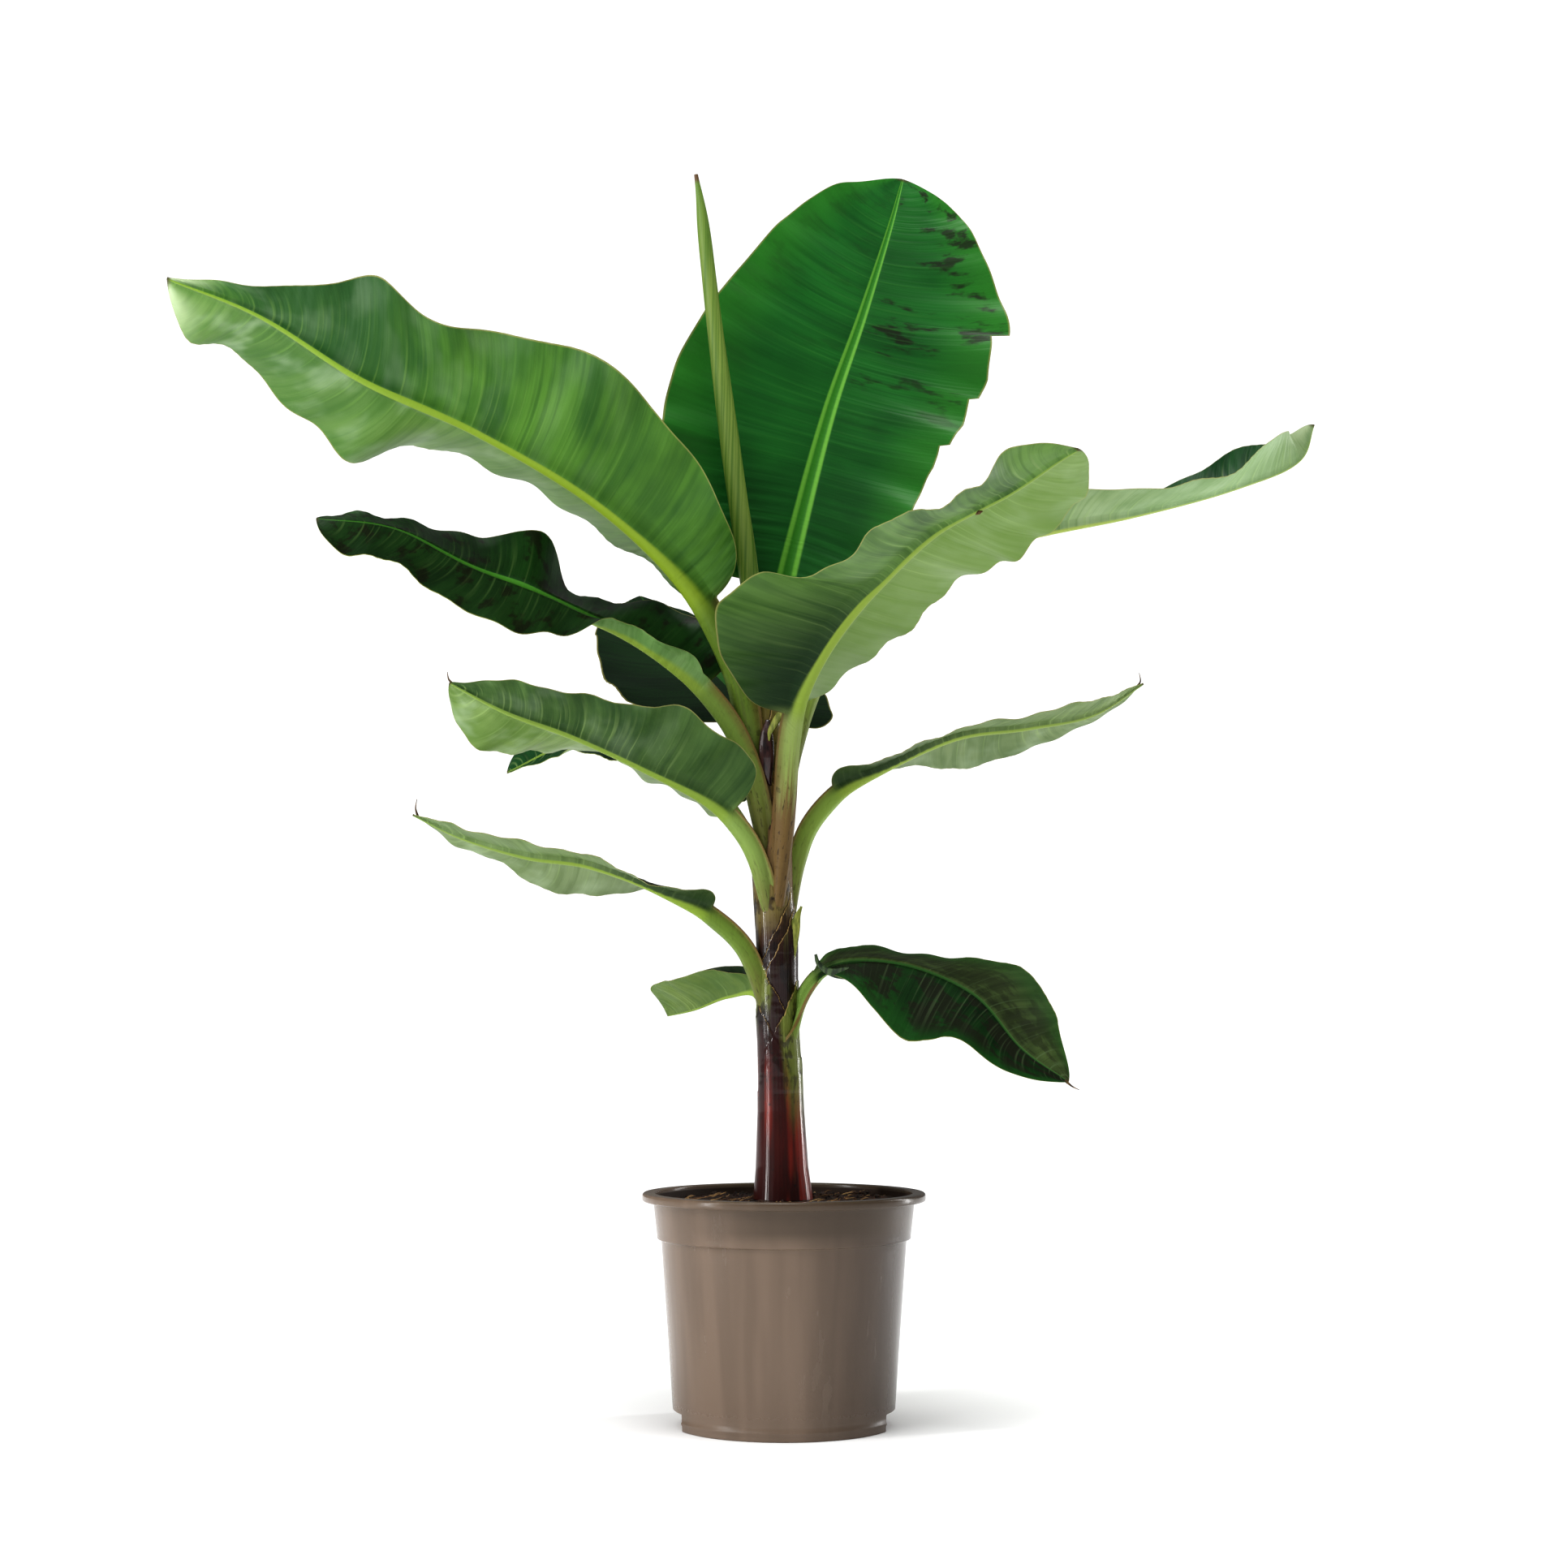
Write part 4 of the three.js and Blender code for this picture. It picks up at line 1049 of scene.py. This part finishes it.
def half_blade(leaf, half, side, place):
    """One half of a leaf as a grid of points, with the directions above it and its shares out.

    Going out from the rib, each short step is taken in a direction that turns evenly by the curl.
    Added to the sum of those steps are a sweep along the rib that grows with the share out to the
    power 1.5, and, along the direction above, fine pleats between the veins and waves that grow
    with its square: one sine and a smaller, quicker one.
    """
    s, t, ribs = place["s"], place["t"], place["rib"]
    outline = along(half["width"], t) * MM * place["rounding"]
    outline = outline * torn_share(t, half.get("tears", ()))
    stalk = ribs + STALK_WING * place["wing"] + FOOT_WIDTH * place["foot"]
    width = np.maximum(outline, stalk)[:, None]
    near = ribs[:, None] * RIB_STEPS[None]
    far = ribs[:, None] + (width - ribs[:, None]) * BLADE_STEPS[None]
    distance = np.concatenate([near, far], 1)
    share = distance / width
    bare = along(half["angle"], t)
    clasped = place["stem_angle"] - side * CLASP_ANGLE
    start = bare + place["clasp"] * (clasped - bare)
    curl = half.get("curl", 10) + place["clasp"] * CLASP_CURL
    angle = start[:, None] + side * curl[:, None] * (share - 0.5)
    between = (angle[:, 1:] + angle[:, :-1]) / 2
    steps = turned(place["to_eye"][:, None], place["up"][:, None], between)
    steps = steps * np.diff(distance, axis=1)[..., None]
    out = np.concatenate([np.zeros_like(steps[:, :1]), np.cumsum(steps, 1)], 1)
    above = turned(place["to_eye"][:, None], place["up"][:, None], angle + side * 90)
    sweep = (place["sweep"] * place["rounding"])[:, None] * width * share ** 1.5
    count, phase = leaf["waves"], leaf["phase"] + (HALF_PHASE if side < 0 else 0)
    height, times, shift = SMALL_WAVE
    roll = np.sin(2 * np.pi * (count * t + phase))
    roll = roll + height * np.sin(2 * np.pi * (times * count * t + shift * phase))
    wave = leaf["wave"] * MM * (roll * place["rounding"])[:, None] * share ** 2
    run = (s * place["length"])[:, None]
    pleat = PLEAT_HEIGHT * np.sin(2 * np.pi * run / PLEAT_LENGTH) * step(*PLEAT_FADE, share)
    pleat = pleat * place["rounding"][:, None] * (0.5 + 0.5 * np.sin(run * PLEAT_DRIFT + side))
    points = place["point"][:, None] + out + place["heading"][:, None] * sweep[..., None]
    points = points + above * (wave + pleat)[..., None]
    return points, above, distance, share, start


# %% Whole leaf


def leaf_places(leaf, run):
    """Everything that both halves of a leaf share, as arrays along it."""
    s = ring_places(leaf["blade_from"], run.length)
    point, heading, to_eye, up = rib_frame(run, s, leaf["hand"], leaf.get("facing"))
    t = (s - leaf["blade_from"]) / (1 - leaf["blade_from"])
    foot = np.clip(1 - s / (FOOT_LENGTH * leaf["blade_from"]), 0, 1)
    stalk = leaf["stalk"] * MM
    on_stalk = stalk * (1 - (1 - FOOT_RADIUS_SHARE) * foot)
    on_blade = stalk * np.clip(1 - t, 0, 1) ** 0.8 + RIB_END * t
    to_stem = stem_at(point[:, 2])[1] - point
    toward = np.degrees(np.arctan2(np.sum(to_stem * up, -1), np.sum(to_stem * to_eye, -1)))
    middle = (along(leaf["a"]["angle"], t) + along(leaf["b"]["angle"], t)) / 2
    return {
        "s": s, "t": t, "foot": foot, "point": point, "heading": heading, "to_eye": to_eye,
        "up": up, "length": run.length, "rib": np.where(t < 0, on_stalk, on_blade),
        "rounding": end_rounding(t, leaf),
        "sweep": leaf["sweep"][0] + (leaf["sweep"][1] - leaf["sweep"][0]) * np.clip(t, 0, 1),
        "stem_angle": toward + 360 * np.round((middle - toward) / 360),
        "clasp": step(CLASP_STARTS, CLASP_FULL, 1 - s / leaf["blade_from"]),
        "wing": step(1.0, 0.6, t),
    }


def leaf_skin(leaf):
    """The closed skin of one leaf: points, faces, a finish number for each face, point values."""
    run = Run(seen(leaf["rib"]))
    place = leaf_places(leaf, run)
    halves = [half_blade(leaf, leaf[key], side, place) for key, side in (("a", 1), ("b", -1))]
    middle = (halves[0][4] + halves[1][4]) / 2
    inward = turned(place["to_eye"], place["up"], middle)[:, None]
    half_open = np.radians((halves[1][4] - halves[0][4]) / 2)[:, None]
    rib = place["rib"][:, None]
    thick = STALK_THICK + (BLADE_THICK - STALK_THICK) * step(*THINS_OUT, place["t"])[:, None]
    tops, bottoms = [], []
    for points, above, distance, share, _ in halves:
        near = np.clip(distance / rib, 0, 1)
        ease = np.cos(half_open) * rib / 2 * (1 - near) ** 2
        groove = GROOVE_DEPTH * rib * (1 - near ** 2) ** 2
        keel = RIB_DEPTH * rib * np.sqrt(np.clip(1 - (distance / (KEEL_WIDTH * rib)) ** 2, 0, 1))
        tops.append(points + inward * (ease - groove)[..., None])
        bottoms.append(points + inward * (ease - keel)[..., None] - above * thick[..., None])
    top = np.concatenate([tops[0][:, ::-1], tops[1][:, 1:]], 1)
    bottom = np.concatenate([bottoms[0][:, ::-1], bottoms[1][:, 1:]], 1)
    rows, width = top.shape[:2]
    grid = np.concatenate([top, bottom[:, ::-1]], 1)
    columns = 2 * width
    column = np.tile(np.arange(columns), rows - 1)
    first = np.arange(width - 1)
    foot_cap = np.stack([first, columns - 1 - first, columns - 2 - first, first + 1], -1)
    tip_cap = foot_cap[:, ::-1] + (rows - 1) * columns
    faces = [grid_faces(rows, columns), foot_cap, tip_cap]
    under = [(column >= width - 1).astype(int), np.ones(width - 1), np.ones(width - 1)]

    def both(left, right):
        """Values from one margin to the other on the upper face, and back on the lower one."""
        line = np.concatenate([left[:, ::-1], right[:, 1:]], 1)
        return np.concatenate([line, line[:, ::-1]], 1).ravel()

    values = {
        "run": np.repeat(place["s"] * place["length"], columns),
        "across": both(-halves[0][3], halves[1][3]),
        "ribs": both(*(np.clip(half[2] / rib, 0, 4) for half in halves)),
        "blade": np.repeat(place["t"], columns),
    }
    return grid.reshape(-1, 3), faces, under, values


print("leaf shape ready")

# %% [markdown]
# ## The twelve leaves
#
# Each leaf has its rib, in millimetres as [across, height, depth], and for each half its widths
# and angles from the blade's base to its tip. Angles turn round the rib from 0, towards the eye,
# through 90, up the picture, to 180, away. The upper side lies between half a and half b. stalk is
# the stalk's radius and wave the height of the margin's waves, both in millimetres. base and tip
# are the shares of the blade where its ends are rounded off, blunt how square its tip is, and sweep
# how far its veins lean forward at the base and at the tip.

# %% Leaves of the crown
LEAVES = {
    "leaf_upright": dict(
        hand=1, blade_from=0.34, stalk=9,
        rib=[[-12, 500, 6], [-12, 600, 10], [-6, 680, 14], [15, 774, 24], [40, 868, 40],
             [68, 950, 60], [92, 1027, 84], [104, 1072, 100]],
        a=dict(width=[88, 90, 92, 95, 99, 112, 120, 126, 135, 120, 109, 106, 98],
               angle=[-78, -80, -82, -82, -80],
               tears=[(0.655, 0.575, 0.12), (0.53, 0.47, 0.06), (0.41, 0.36, 0.07)]),
        b=dict(width=[125, 126, 130, 138, 141, 142, 135, 124, 114, 107, 100, 97, 80],
               angle=[78, 80, 82, 82, 80]),
        base=0.14, tip=0.5, blunt=3, sweep=[-0.35, 0.3], wave=3.5, waves=5, phase=0.1,
    ),
    "leaf_upper_left": dict(
        hand=-1, blade_from=0.30, stalk=11,
        rib=[[-12, 480, -2], [-25, 559, -2], [-42, 640, -12], [-84, 716, -34], [-160, 788, -62],
             [-264, 850, -96], [-364, 895, -126], [-455, 951, -148], [-538, 984, -162]],
        a=dict(width=[76, 70, 82, 93, 110, 98, 81, 75, 88, 57, 31, 18, 8],
               angle=[70, 66, 64, 62, 64]),
        b=dict(width=[60, 70, 80, 84, 86, 88, 88, 93, 81, 84, 71, 84, 85],
               angle=[198, 194, 192, 197, 198, 195, 204, 228, 219, 217, 216, 219, 222]),
        base=0.14, tip=0.55, blunt=5, sweep=[-0.05, 0.4], wave=4.5, waves=4, phase=0.35,
    ),
    "leaf_front_right": dict(
        hand=1, blade_from=0.32, stalk=8.4,
        rib=[[-6, 430, -10], [0, 500, -18], [7, 590, -28], [29, 650, -46], [72, 708, -80],
             [130, 762, -124], [195, 796, -168], [238, 823, -200], [256, 833, -214]],
        a=dict(width=[60, 64, 90, 108, 98, 86, 78, 77, 70, 64, 66, 62, 50],
               angle=[72, 66, 60, 58, 50, 23, 24, 24, 8, 15, 24, 38, 40]),
        b=dict(width=[56, 66, 78, 82, 84, 85, 84, 84, 80, 73, 74, 70, 66],
               angle=[190, 190, 203, 215, 213, 213, 220, 219, 219, 221, 212, 210, 210]),
        base=0.14, tip=0.64, blunt=2.6, sweep=[-0.4, 0.32], wave=5, waves=4, phase=0.6,
    ),
    "leaf_left": dict(
        hand=-1, blade_from=0.30, stalk=9,
        rib=[[-14, 480, -8], [-32, 559, -16], [-62, 612, -22], [-116, 659, -28], [-189, 700, -38],
             [-269, 731, -50], [-337, 764, -60], [-405, 772, -66]],
        a=dict(width=[14, 18, 12, 10, 27, 45, 60, 51, 45, 44, 45, 54, 60],
               angle=[75, 72, 60, 30, -35, -42, -45, -45, -45, -45, -42, -40, -40]),
        b=dict(width=[50, 60, 59, 64, 62, 65, 64, 60, 54, 44, 28, 34, 34],
               angle=[125, 127, 131, 145, 169, 168, 129, 151, 156, 161, 171, 161, 161]),
        base=0.1, tip=0.6, blunt=4, sweep=[-0.45, 0.3], wave=3.5, waves=4, phase=0.2,
    ),
    "leaf_back": dict(
        hand=-1, facing=[0, 0, 1], blade_from=0.26, stalk=9,
        rib=[[-10, 490, 8], [-14, 560, 24], [-26, 604, 62], [-50, 632, 124], [-80, 656, 200],
             [-106, 682, 276], [-124, 704, 346]],
        a=dict(width=[94, 116, 114, 97, 76, 52, 30], angle=[-94, -92, -88, -84, -80], curl=12),
        b=dict(width=[66, 90, 104, 98, 86, 70, 52], angle=[100, 98, 96, 96, 98], curl=12),
        base=0.16, tip=0.5, blunt=2.4, sweep=[-0.3, 0.3], wave=3, waves=3, phase=0.8,
    ),
    "leaf_back_right": dict(
        hand=1, blade_from=0.30, stalk=8.5,
        rib=[[-4, 490, 8], [8, 574, 22], [36, 650, 46], [98, 720, 88], [192, 754, 140],
             [300, 776, 186], [397, 801, 216], [446, 822, 226], [460, 854, 228]],
        a=dict(width=[40, 44, 48, 47, 46, 45, 44, 45, 46, 49, 52, 54, 54],
               angle=[40, 38, 34, 34, 34, 38, 40, 27, 17, 18, 46, 57, 62]),
        b=dict(width=[40, 46, 52, 54, 56, 55, 54, 52, 50, 49, 49, 46, 42],
               angle=[172, 172, 172, 170, 168, 164, 162, 160, 160, 154, 126, 117, 116]),
        base=0.14, tip=0.66, blunt=2.6, sweep=[-0.3, 0.35], wave=2.5, waves=4, phase=0.5,
    ),
    "leaf_middle_right": dict(
        hand=1, blade_from=0.32, stalk=7,
        rib=[[-1, 400, 2], [11, 473, 4], [31, 516, 8], [74, 551, 20], [145, 584, 42],
             [209, 592, 60], [265, 602, 74], [309, 628, 82]],
        a=dict(width=[24, 26, 29, 31, 34, 26, 10], angle=[75, 10, 6, 10, 20, 24, 20], curl=8),
        b=dict(width=[24, 34, 40, 51, 28, 17, 10], angle=[164, 182, 214, 222, 210, 200], curl=8),
        base=0.12, tip=0.7, blunt=2.4, sweep=[-0.55, 0.4], wave=1.5, waves=4, phase=0.3,
    ),
    "leaf_middle_left": dict(
        hand=-1, blade_from=0.28, stalk=7,
        rib=[[-10, 420, -8], [-27, 485, -18], [-62, 525, -32], [-122, 557, -60], [-180, 583, -86],
             [-239, 604, -108], [-288, 629, -122]],
        a=dict(width=[42, 50, 57, 58, 65, 55, 45, 39, 34, 33, 28, 21, 12],
               angle=[70, 66, 62, 62, 60]),
        b=dict(width=[40, 46, 52, 54, 55, 53, 52, 50, 48, 47, 47, 46, 42],
               angle=[190, 190, 191, 188, 184, 186, 192, 204, 221, 228, 232, 228, 225]),
        base=0.1, tip=0.7, blunt=2.4, sweep=[-0.3, 0.35], wave=3, waves=4, phase=0.9,
    ),
    "leaf_hidden_left": dict(
        hand=-1, blade_from=0.30, stalk=7,
        rib=[[-10, 430, 8], [-24, 490, 22], [-60, 540, 60], [-116, 566, 120], [-180, 576, 170],
             [-238, 551, 206]],
        a=dict(width=[36, 44, 44, 36, 16, 10], angle=[-10, -12, -16, -20, -30]),
        b=dict(width=[40, 50, 50, 44, 40, 36], angle=[166, 162, 158, 150, 130]),
        base=0.14, tip=0.6, blunt=3.5, sweep=[-0.3, 0.3], wave=2, waves=3, phase=0.4,
    ),
    "leaf_lower_left": dict(
        hand=-1, blade_from=0.34, stalk=7,
        rib=[[-6, 310, -2], [-22, 373, -6], [-46, 413, -10], [-105, 452, -16], [-164, 474, -22],
             [-220, 481, -26], [-275, 496, -28], [-318, 515, -28]],
        a=dict(width=[26, 28, 34, 29, 32, 26, 10], angle=[75, 10, 0, 15, 16, 16, 16], curl=8),
        b=dict(width=[24, 34, 45, 48, 22, 19, 10], angle=[164, 182, 214, 222, 210, 200], curl=8),
        base=0.12, tip=0.7, blunt=2.4, sweep=[-0.55, 0.4], wave=1.5, waves=4, phase=0.7,
    ),
    "leaf_lower_right": dict(
        hand=1, blade_from=0.26, stalk=6.5,
        rib=[[2, 290, -4], [8, 351, -12], [39, 388, -30], [100, 389, -62], [162, 362, -96],
             [202, 316, -118], [242, 287, -130]],
        a=dict(width=[8, 20, 47, 63, 40, 28, 20], angle=[-60, -66, -72, -76, -76], curl=8),
        b=dict(width=[30, 40, 48, 52, 54, 51, 50, 60, 56, 49, 45, 40, 36],
               angle=[166, 170, 164, 136, 114, 110], curl=8),
        base=0.14, tip=0.6, blunt=2.4, sweep=[-0.4, 0.3], wave=2, waves=3, phase=0.15,
    ),
    "leaf_small_back_left": dict(
        hand=-1, blade_from=0.28, stalk=5,
        rib=[[-8, 320, 6], [-22, 360, 18], [-48, 360, 44], [-76, 349, 74], [-99, 343, 100]],
        a=dict(width=[12, 20, 29, 33, 32, 30], angle=[76, 74, 72, 72, 72], curl=8),
        b=dict(width=[16, 24, 28, 30, 30, 28], angle=[112, 108, 106, 104, 104], curl=8),
        base=0.14, tip=0.7, blunt=4, sweep=[-0.2, 0.8], wave=1, waves=3, phase=0.25,
    ),
}

# %% Greens of each leaf
DEEP = dict(a=((18, 66, 26), (34, 92, 36)))
PALE = dict(a=((84, 122, 60), (124, 156, 98)))
BRONZE = dict(a=((38, 42, 24), (54, 58, 34)), b=((36, 52, 26), (54, 72, 36)))
SIDES = {
    "leaf_upright": (
        dict(a=((18, 76, 27), (30, 103, 36)), rib=(114, 178, 66), groove=(56, 124, 34),
             painted_backlight=(54, 130, 38), blotch=0.6, stain_from=0.45, clean_half=0.8, vein=0.2,
             line=(58, 124, 50), rib_share=1.0),
        PALE),
    "leaf_upper_left": (
        DEEP,
        # Half a darker and half b paler, partly as painted light and shade.
        dict(a=((40, 82, 26), (78, 122, 42)), b=((68, 106, 40), (98, 130, 66)), rib=(122, 146, 42),
             shade=0.2, tip=(30, 70, 28), bloom=0.25, bands=0.7, vein=0.16, line=(124, 160, 76),
             rib_share=0.62, stalk=(88, 114, 48))),
    "leaf_front_right": (
        DEEP,
        dict(a=((48, 80, 32), (98, 132, 66)), b=((94, 124, 52), (112, 138, 78)), rib=(126, 148, 58),
             shade=0.95, bloom=0.12, vein=0.2, rib_share=0.7, stalk=(134, 150, 90),
             foot=(96, 72, 42), foot_share=0.95, aged=(-0.06, -0.26))),
    "leaf_left": (
        dict(a=((20, 42, 20), (34, 66, 28)), b=((18, 44, 18), (34, 72, 28)), rib=(80, 144, 50),
             blotch=0.7, sheen=0.32, gloss=0.18, vein=0.4, line=(80, 106, 58), rib_share=0.5,
             rib_starts=0.35),
        PALE),
    # The back leaf's greens are mostly painted shade, darkened nearly to black for the shade it
    # lies in behind the crown.
    "leaf_back": (
        dict(a=((8, 28, 10), (16, 44, 16)), rib=(40, 84, 30), sheen=0.55, gloss=0.08, vein=0.2,
             line=(34, 66, 34)),
        dict(a=((8, 30, 12), (18, 48, 20)), sheen=0.6, gloss=0.08, vein=0.2, line=(34, 66, 34))),
    "leaf_back_right": (
        dict(a=((16, 56, 26), (26, 82, 34))),
        dict(a=((88, 120, 64), (134, 156, 110)), rib=(150, 168, 72), tip=(118, 146, 98),
             bloom=0.5)),
    "leaf_middle_right": (
        BRONZE,
        dict(a=((76, 100, 52), (110, 130, 80)), b=((88, 110, 68), (118, 136, 94)),
             rib=(126, 148, 58), bloom=0.25, shade=0.8, stalk=(122, 148, 70))),
    "leaf_middle_left": (
        DEEP,
        dict(a=((38, 66, 28), (74, 102, 50)), b=((82, 110, 48), (116, 140, 80)), rib=(122, 146, 58),
             bloom=0.3, shade=0.25, rib_share=0.7, stalk=(124, 148, 80))),
    "leaf_hidden_left": (dict(a=((12, 40, 18), (20, 62, 26))), PALE),
    "leaf_lower_left": (
        BRONZE,
        dict(a=((74, 98, 50), (108, 130, 80)), b=((88, 108, 66), (118, 136, 96)),
             rib=(122, 146, 52), bloom=0.25, shade=0.8, stalk=(88, 112, 48))),
    "leaf_lower_right": (
        dict(a=((8, 28, 10), (24, 60, 22)), b=((44, 56, 30), (74, 92, 50)), rib=(50, 88, 42),
             blotch=1.3, stain_size=(28, 3.2), stain_reach=1.05, clean_half=0.4, painted_backlight=(32, 84, 30),
             sheen=0.42, gloss=0.06, vein=0.3, line=(84, 104, 70), rib_share=0.4, rib_starts=0.2),
        PALE),
    "leaf_small_back_left": (
        dict(a=((26, 46, 24), (44, 64, 34))), dict(a=((66, 92, 40), (98, 118, 58)), bloom=0.2)),
}
for name, leaf in LEAVES.items():
    sides = zip(("upper", "under"), SIDES[name])
    finishes = [leaf_finish(f"{name}_{key}", **look) for key, look in sides]
    points, faces, finish_of, values = leaf_skin(leaf)
    make_piece(f"{name}_blade", points, faces, finishes, "leaf", name, finish_of, values, crease=60)

# %% [markdown]
# ## Rolled leaf
#
# The youngest leaf is still rolled up. Its outer edge shows as one step that winds up the roll, so
# the grid's columns are counted from that edge, and the radius grows evenly round to it.

# %% Rolled leaf
SPEAR_RUN = [[-15, 604, 0], [-30, 718, -4], [-46, 833, -8], [-60.3, 942, -12], [-71.4, 1039, -14],
             [-77, 1076, -14]]
SPEAR_RADII = [6, 7.4, 8.2, 8.6, 8.8, 8.6, 7.9, 6.9, 6.2, 5.3, 1.8]
SPEAR_OVERLAP = 0.12
SPEAR_TWIST = 0.8
SPEAR_ROWS = 220
SPEAR_COLUMNS = 48
DRY_TIP = (0.462, 0.468)

run = Run(seen(SPEAR_RUN))
s = np.linspace(0, 1, SPEAR_ROWS)
point, heading, to_eye, up = rib_frame(run, s, 1)
turn = np.arange(SPEAR_COLUMNS) / SPEAR_COLUMNS
angle = 360 * (turn[None] - s[:, None] * SPEAR_TWIST)
reach = along(SPEAR_RADII, s)[:, None] * MM * (1 + SPEAR_OVERLAP * (turn[None] - 0.5))
spear = point[:, None] + turned(to_eye[:, None], up[:, None], angle) * reach[..., None]
points, faces = capped_tube(spear, point[[0, -1]])
values = {
    "turn": np.append(np.tile(turn, SPEAR_ROWS), [0, 0]),
    "run": np.append(np.repeat(s * run.length, SPEAR_COLUMNS), [0, run.length]),
}

young = Finish("young_leaf_skin", Specular_IOR_Level=0.45)
turn_here, run_here = young.attribute("turn"), young.attribute("run")
lines = young.grain(turn_here * 26 + run_here * 40, run_here * 9, 0.0, 3.0)
young.feed("Base Color", young.paint(
    young.mix((88, 122, 40), (132, 154, 68), lines.fade(0.35, 0.65)),
    # Painted shade just under the roll's overlapping outer edge.
    ((66, 98, 32), turn_here.fade(0.06, 0.0) * 0.6),
    ((164, 176, 98), turn_here.fade(0.94, 1.0) * 0.7),
    ((76, 112, 38), run_here.fade(0.30, 0.42) * 0.4),
    ((96, 72, 44), run_here.fade(*DRY_TIP)),
))
young.feed("Roughness", 0.4 + lines * 0.15)
young.relief(lines, 0.3 * MM)
make_piece("rolled_leaf_skin", points, faces, [young], "young_leaf", "rolled_leaf", values=values,
           crease=45)

# %% [markdown]
# ## Slips and threads
#
# Small worn parts tell the plant's age: old leaves end in a dry thread, a torn strip of sheath and
# a dark inner sheath show at the crown, and a yellowed stub is left where a leaf was taken off.
# Each is an ellipse drawn along a short line, as wide and as thick as its own lists say.

# %% Slip shape
SLIP_ROWS = 40
SLIP_COLUMNS = 16


def slip(line, widths, thickness, facing=90):
    """A slip along a line seen in millimetres: at each place an ellipse, so wide and so thick.

    facing turns the width round the line, in degrees: 0 is towards the eye and 90 up the picture.
    """
    run = Run(seen(line))
    s = np.linspace(0, 1, SLIP_ROWS)
    point, _, to_eye, up = rib_frame(run, s, 1)
    wide, thin = (turned(to_eye, up, np.full(SLIP_ROWS, angle))[:, None]
                  for angle in (facing, facing + 90))
    around = (np.arange(SLIP_COLUMNS) * 2 * np.pi / SLIP_COLUMNS)[None, :, None]
    half_width, half_thick = (along(values, s)[:, None, None] * MM / 2
                              for values in (widths, thickness))
    ring = point[:, None] + wide * np.cos(around) * half_width + thin * np.sin(around) * half_thick
    return capped_tube(ring, point[[0, -1]])


def slip_finish(name, dark, light, roughness, coat=0.0):
    """Dark and light streaks that run lengthwise, with a fine grain."""
    made = Finish(name, Specular_IOR_Level=0.25, Coat_Weight=coat, Coat_Roughness=0.08)
    x, y, z = made.parts(made.place())
    streak = made.grain(x * 260, y * 260, z * 60, 4.0, 0.6)
    made.feed("Base Color", made.mix(dark, light, streak.fade(0.38, 0.64)))
    made.feed("Roughness", roughness + streak * 0.2)
    made.relief(streak, 0.4 * MM)
    return made


# %% Slips of the stem and the leaves
dry = slip_finish("dry_brown", (52, 38, 24), (104, 80, 48), 0.6)
yellowed = slip_finish("yellowed_sheath", (96, 104, 42), (146, 150, 72), 0.4)
purple = slip_finish("dark_inner_sheath", (26, 14, 16), (62, 36, 34), 0.25, coat=0.5)
rolled = slip_finish("rolled_lobe", (30, 44, 26), (66, 86, 52), 0.4)
THREAD = ([2.2, 1.2, 0.5], [1.6, 1, 0.5])
SLIPS = {
    "thread_middle_left": (dry, [[-286, 628, -122], [-289, 632, -122], [-290, 638, -122]], *THREAD),
    "thread_middle_right": (dry, [[304, 625, 81], [307, 630, 82], [306, 637, 82]], *THREAD),
    "thread_lower_left": (dry, [[-314, 513, -28], [-316, 520, -28], [-315, 528, -28]], *THREAD),
    "thread_lower_right": (
        dry, [[239, 288, -129], [245, 283, -130], [251, 280, -130]], [2.6, 1.4, 0.5], THREAD[1]),
    "torn_tip_edge": (
        dry, [[206, 831, -196], [216, 835, -198], [228, 832, -200], [238, 828, -202]],
        [1, 4, 3, 1], [1, 1.4, 1.2, 1]),
    "rib_scar": (
        dry, [[166, 775, -156], [169, 777, -157], [172, 778, -158]], [1, 3.4, 1], [1, 3, 1]),
    "curled_lobe": (
        rolled, [[56, 379, -42], [44, 379, -38], [35, 382, -34], [29, 388, -32], [27, 395, -31]],
        [11, 9, 6, 4.5, 2.5], [1.6, 1.6, 2, 2.4, 1.6]),
    "torn_sheath_strip": (
        yellowed, [[9, 615, -18], [1, 607, -22], [-6, 597, -23], [-12, 586, -22], [-13, 578, -20]],
        [2, 5, 7, 6, 1.5], [1.2, 1.6, 1.8, 1.6, 1], 60),
    "dark_inner_sheath": (
        purple,
        [[-14, 596, -12], [-15, 584, -17], [-15, 566, -20], [-14, 550, -18], [-12, 540, -14]],
        [4, 11, 13, 10, 3], [2, 4, 5, 4, 2]),
    "old_sheath_stub": (
        yellowed, [[7, 388, -10], [9, 406, -11], [10.5, 424, -11], [15, 436, -10]],
        [4, 6, 8, 2], [1.5, 2.6, 2.2, 1]),
}
for name, (finish, *shape) in SLIPS.items():
    make_piece(name, *slip(*shape), [finish], "stem_skin" if "sheath" in name else "leaf")
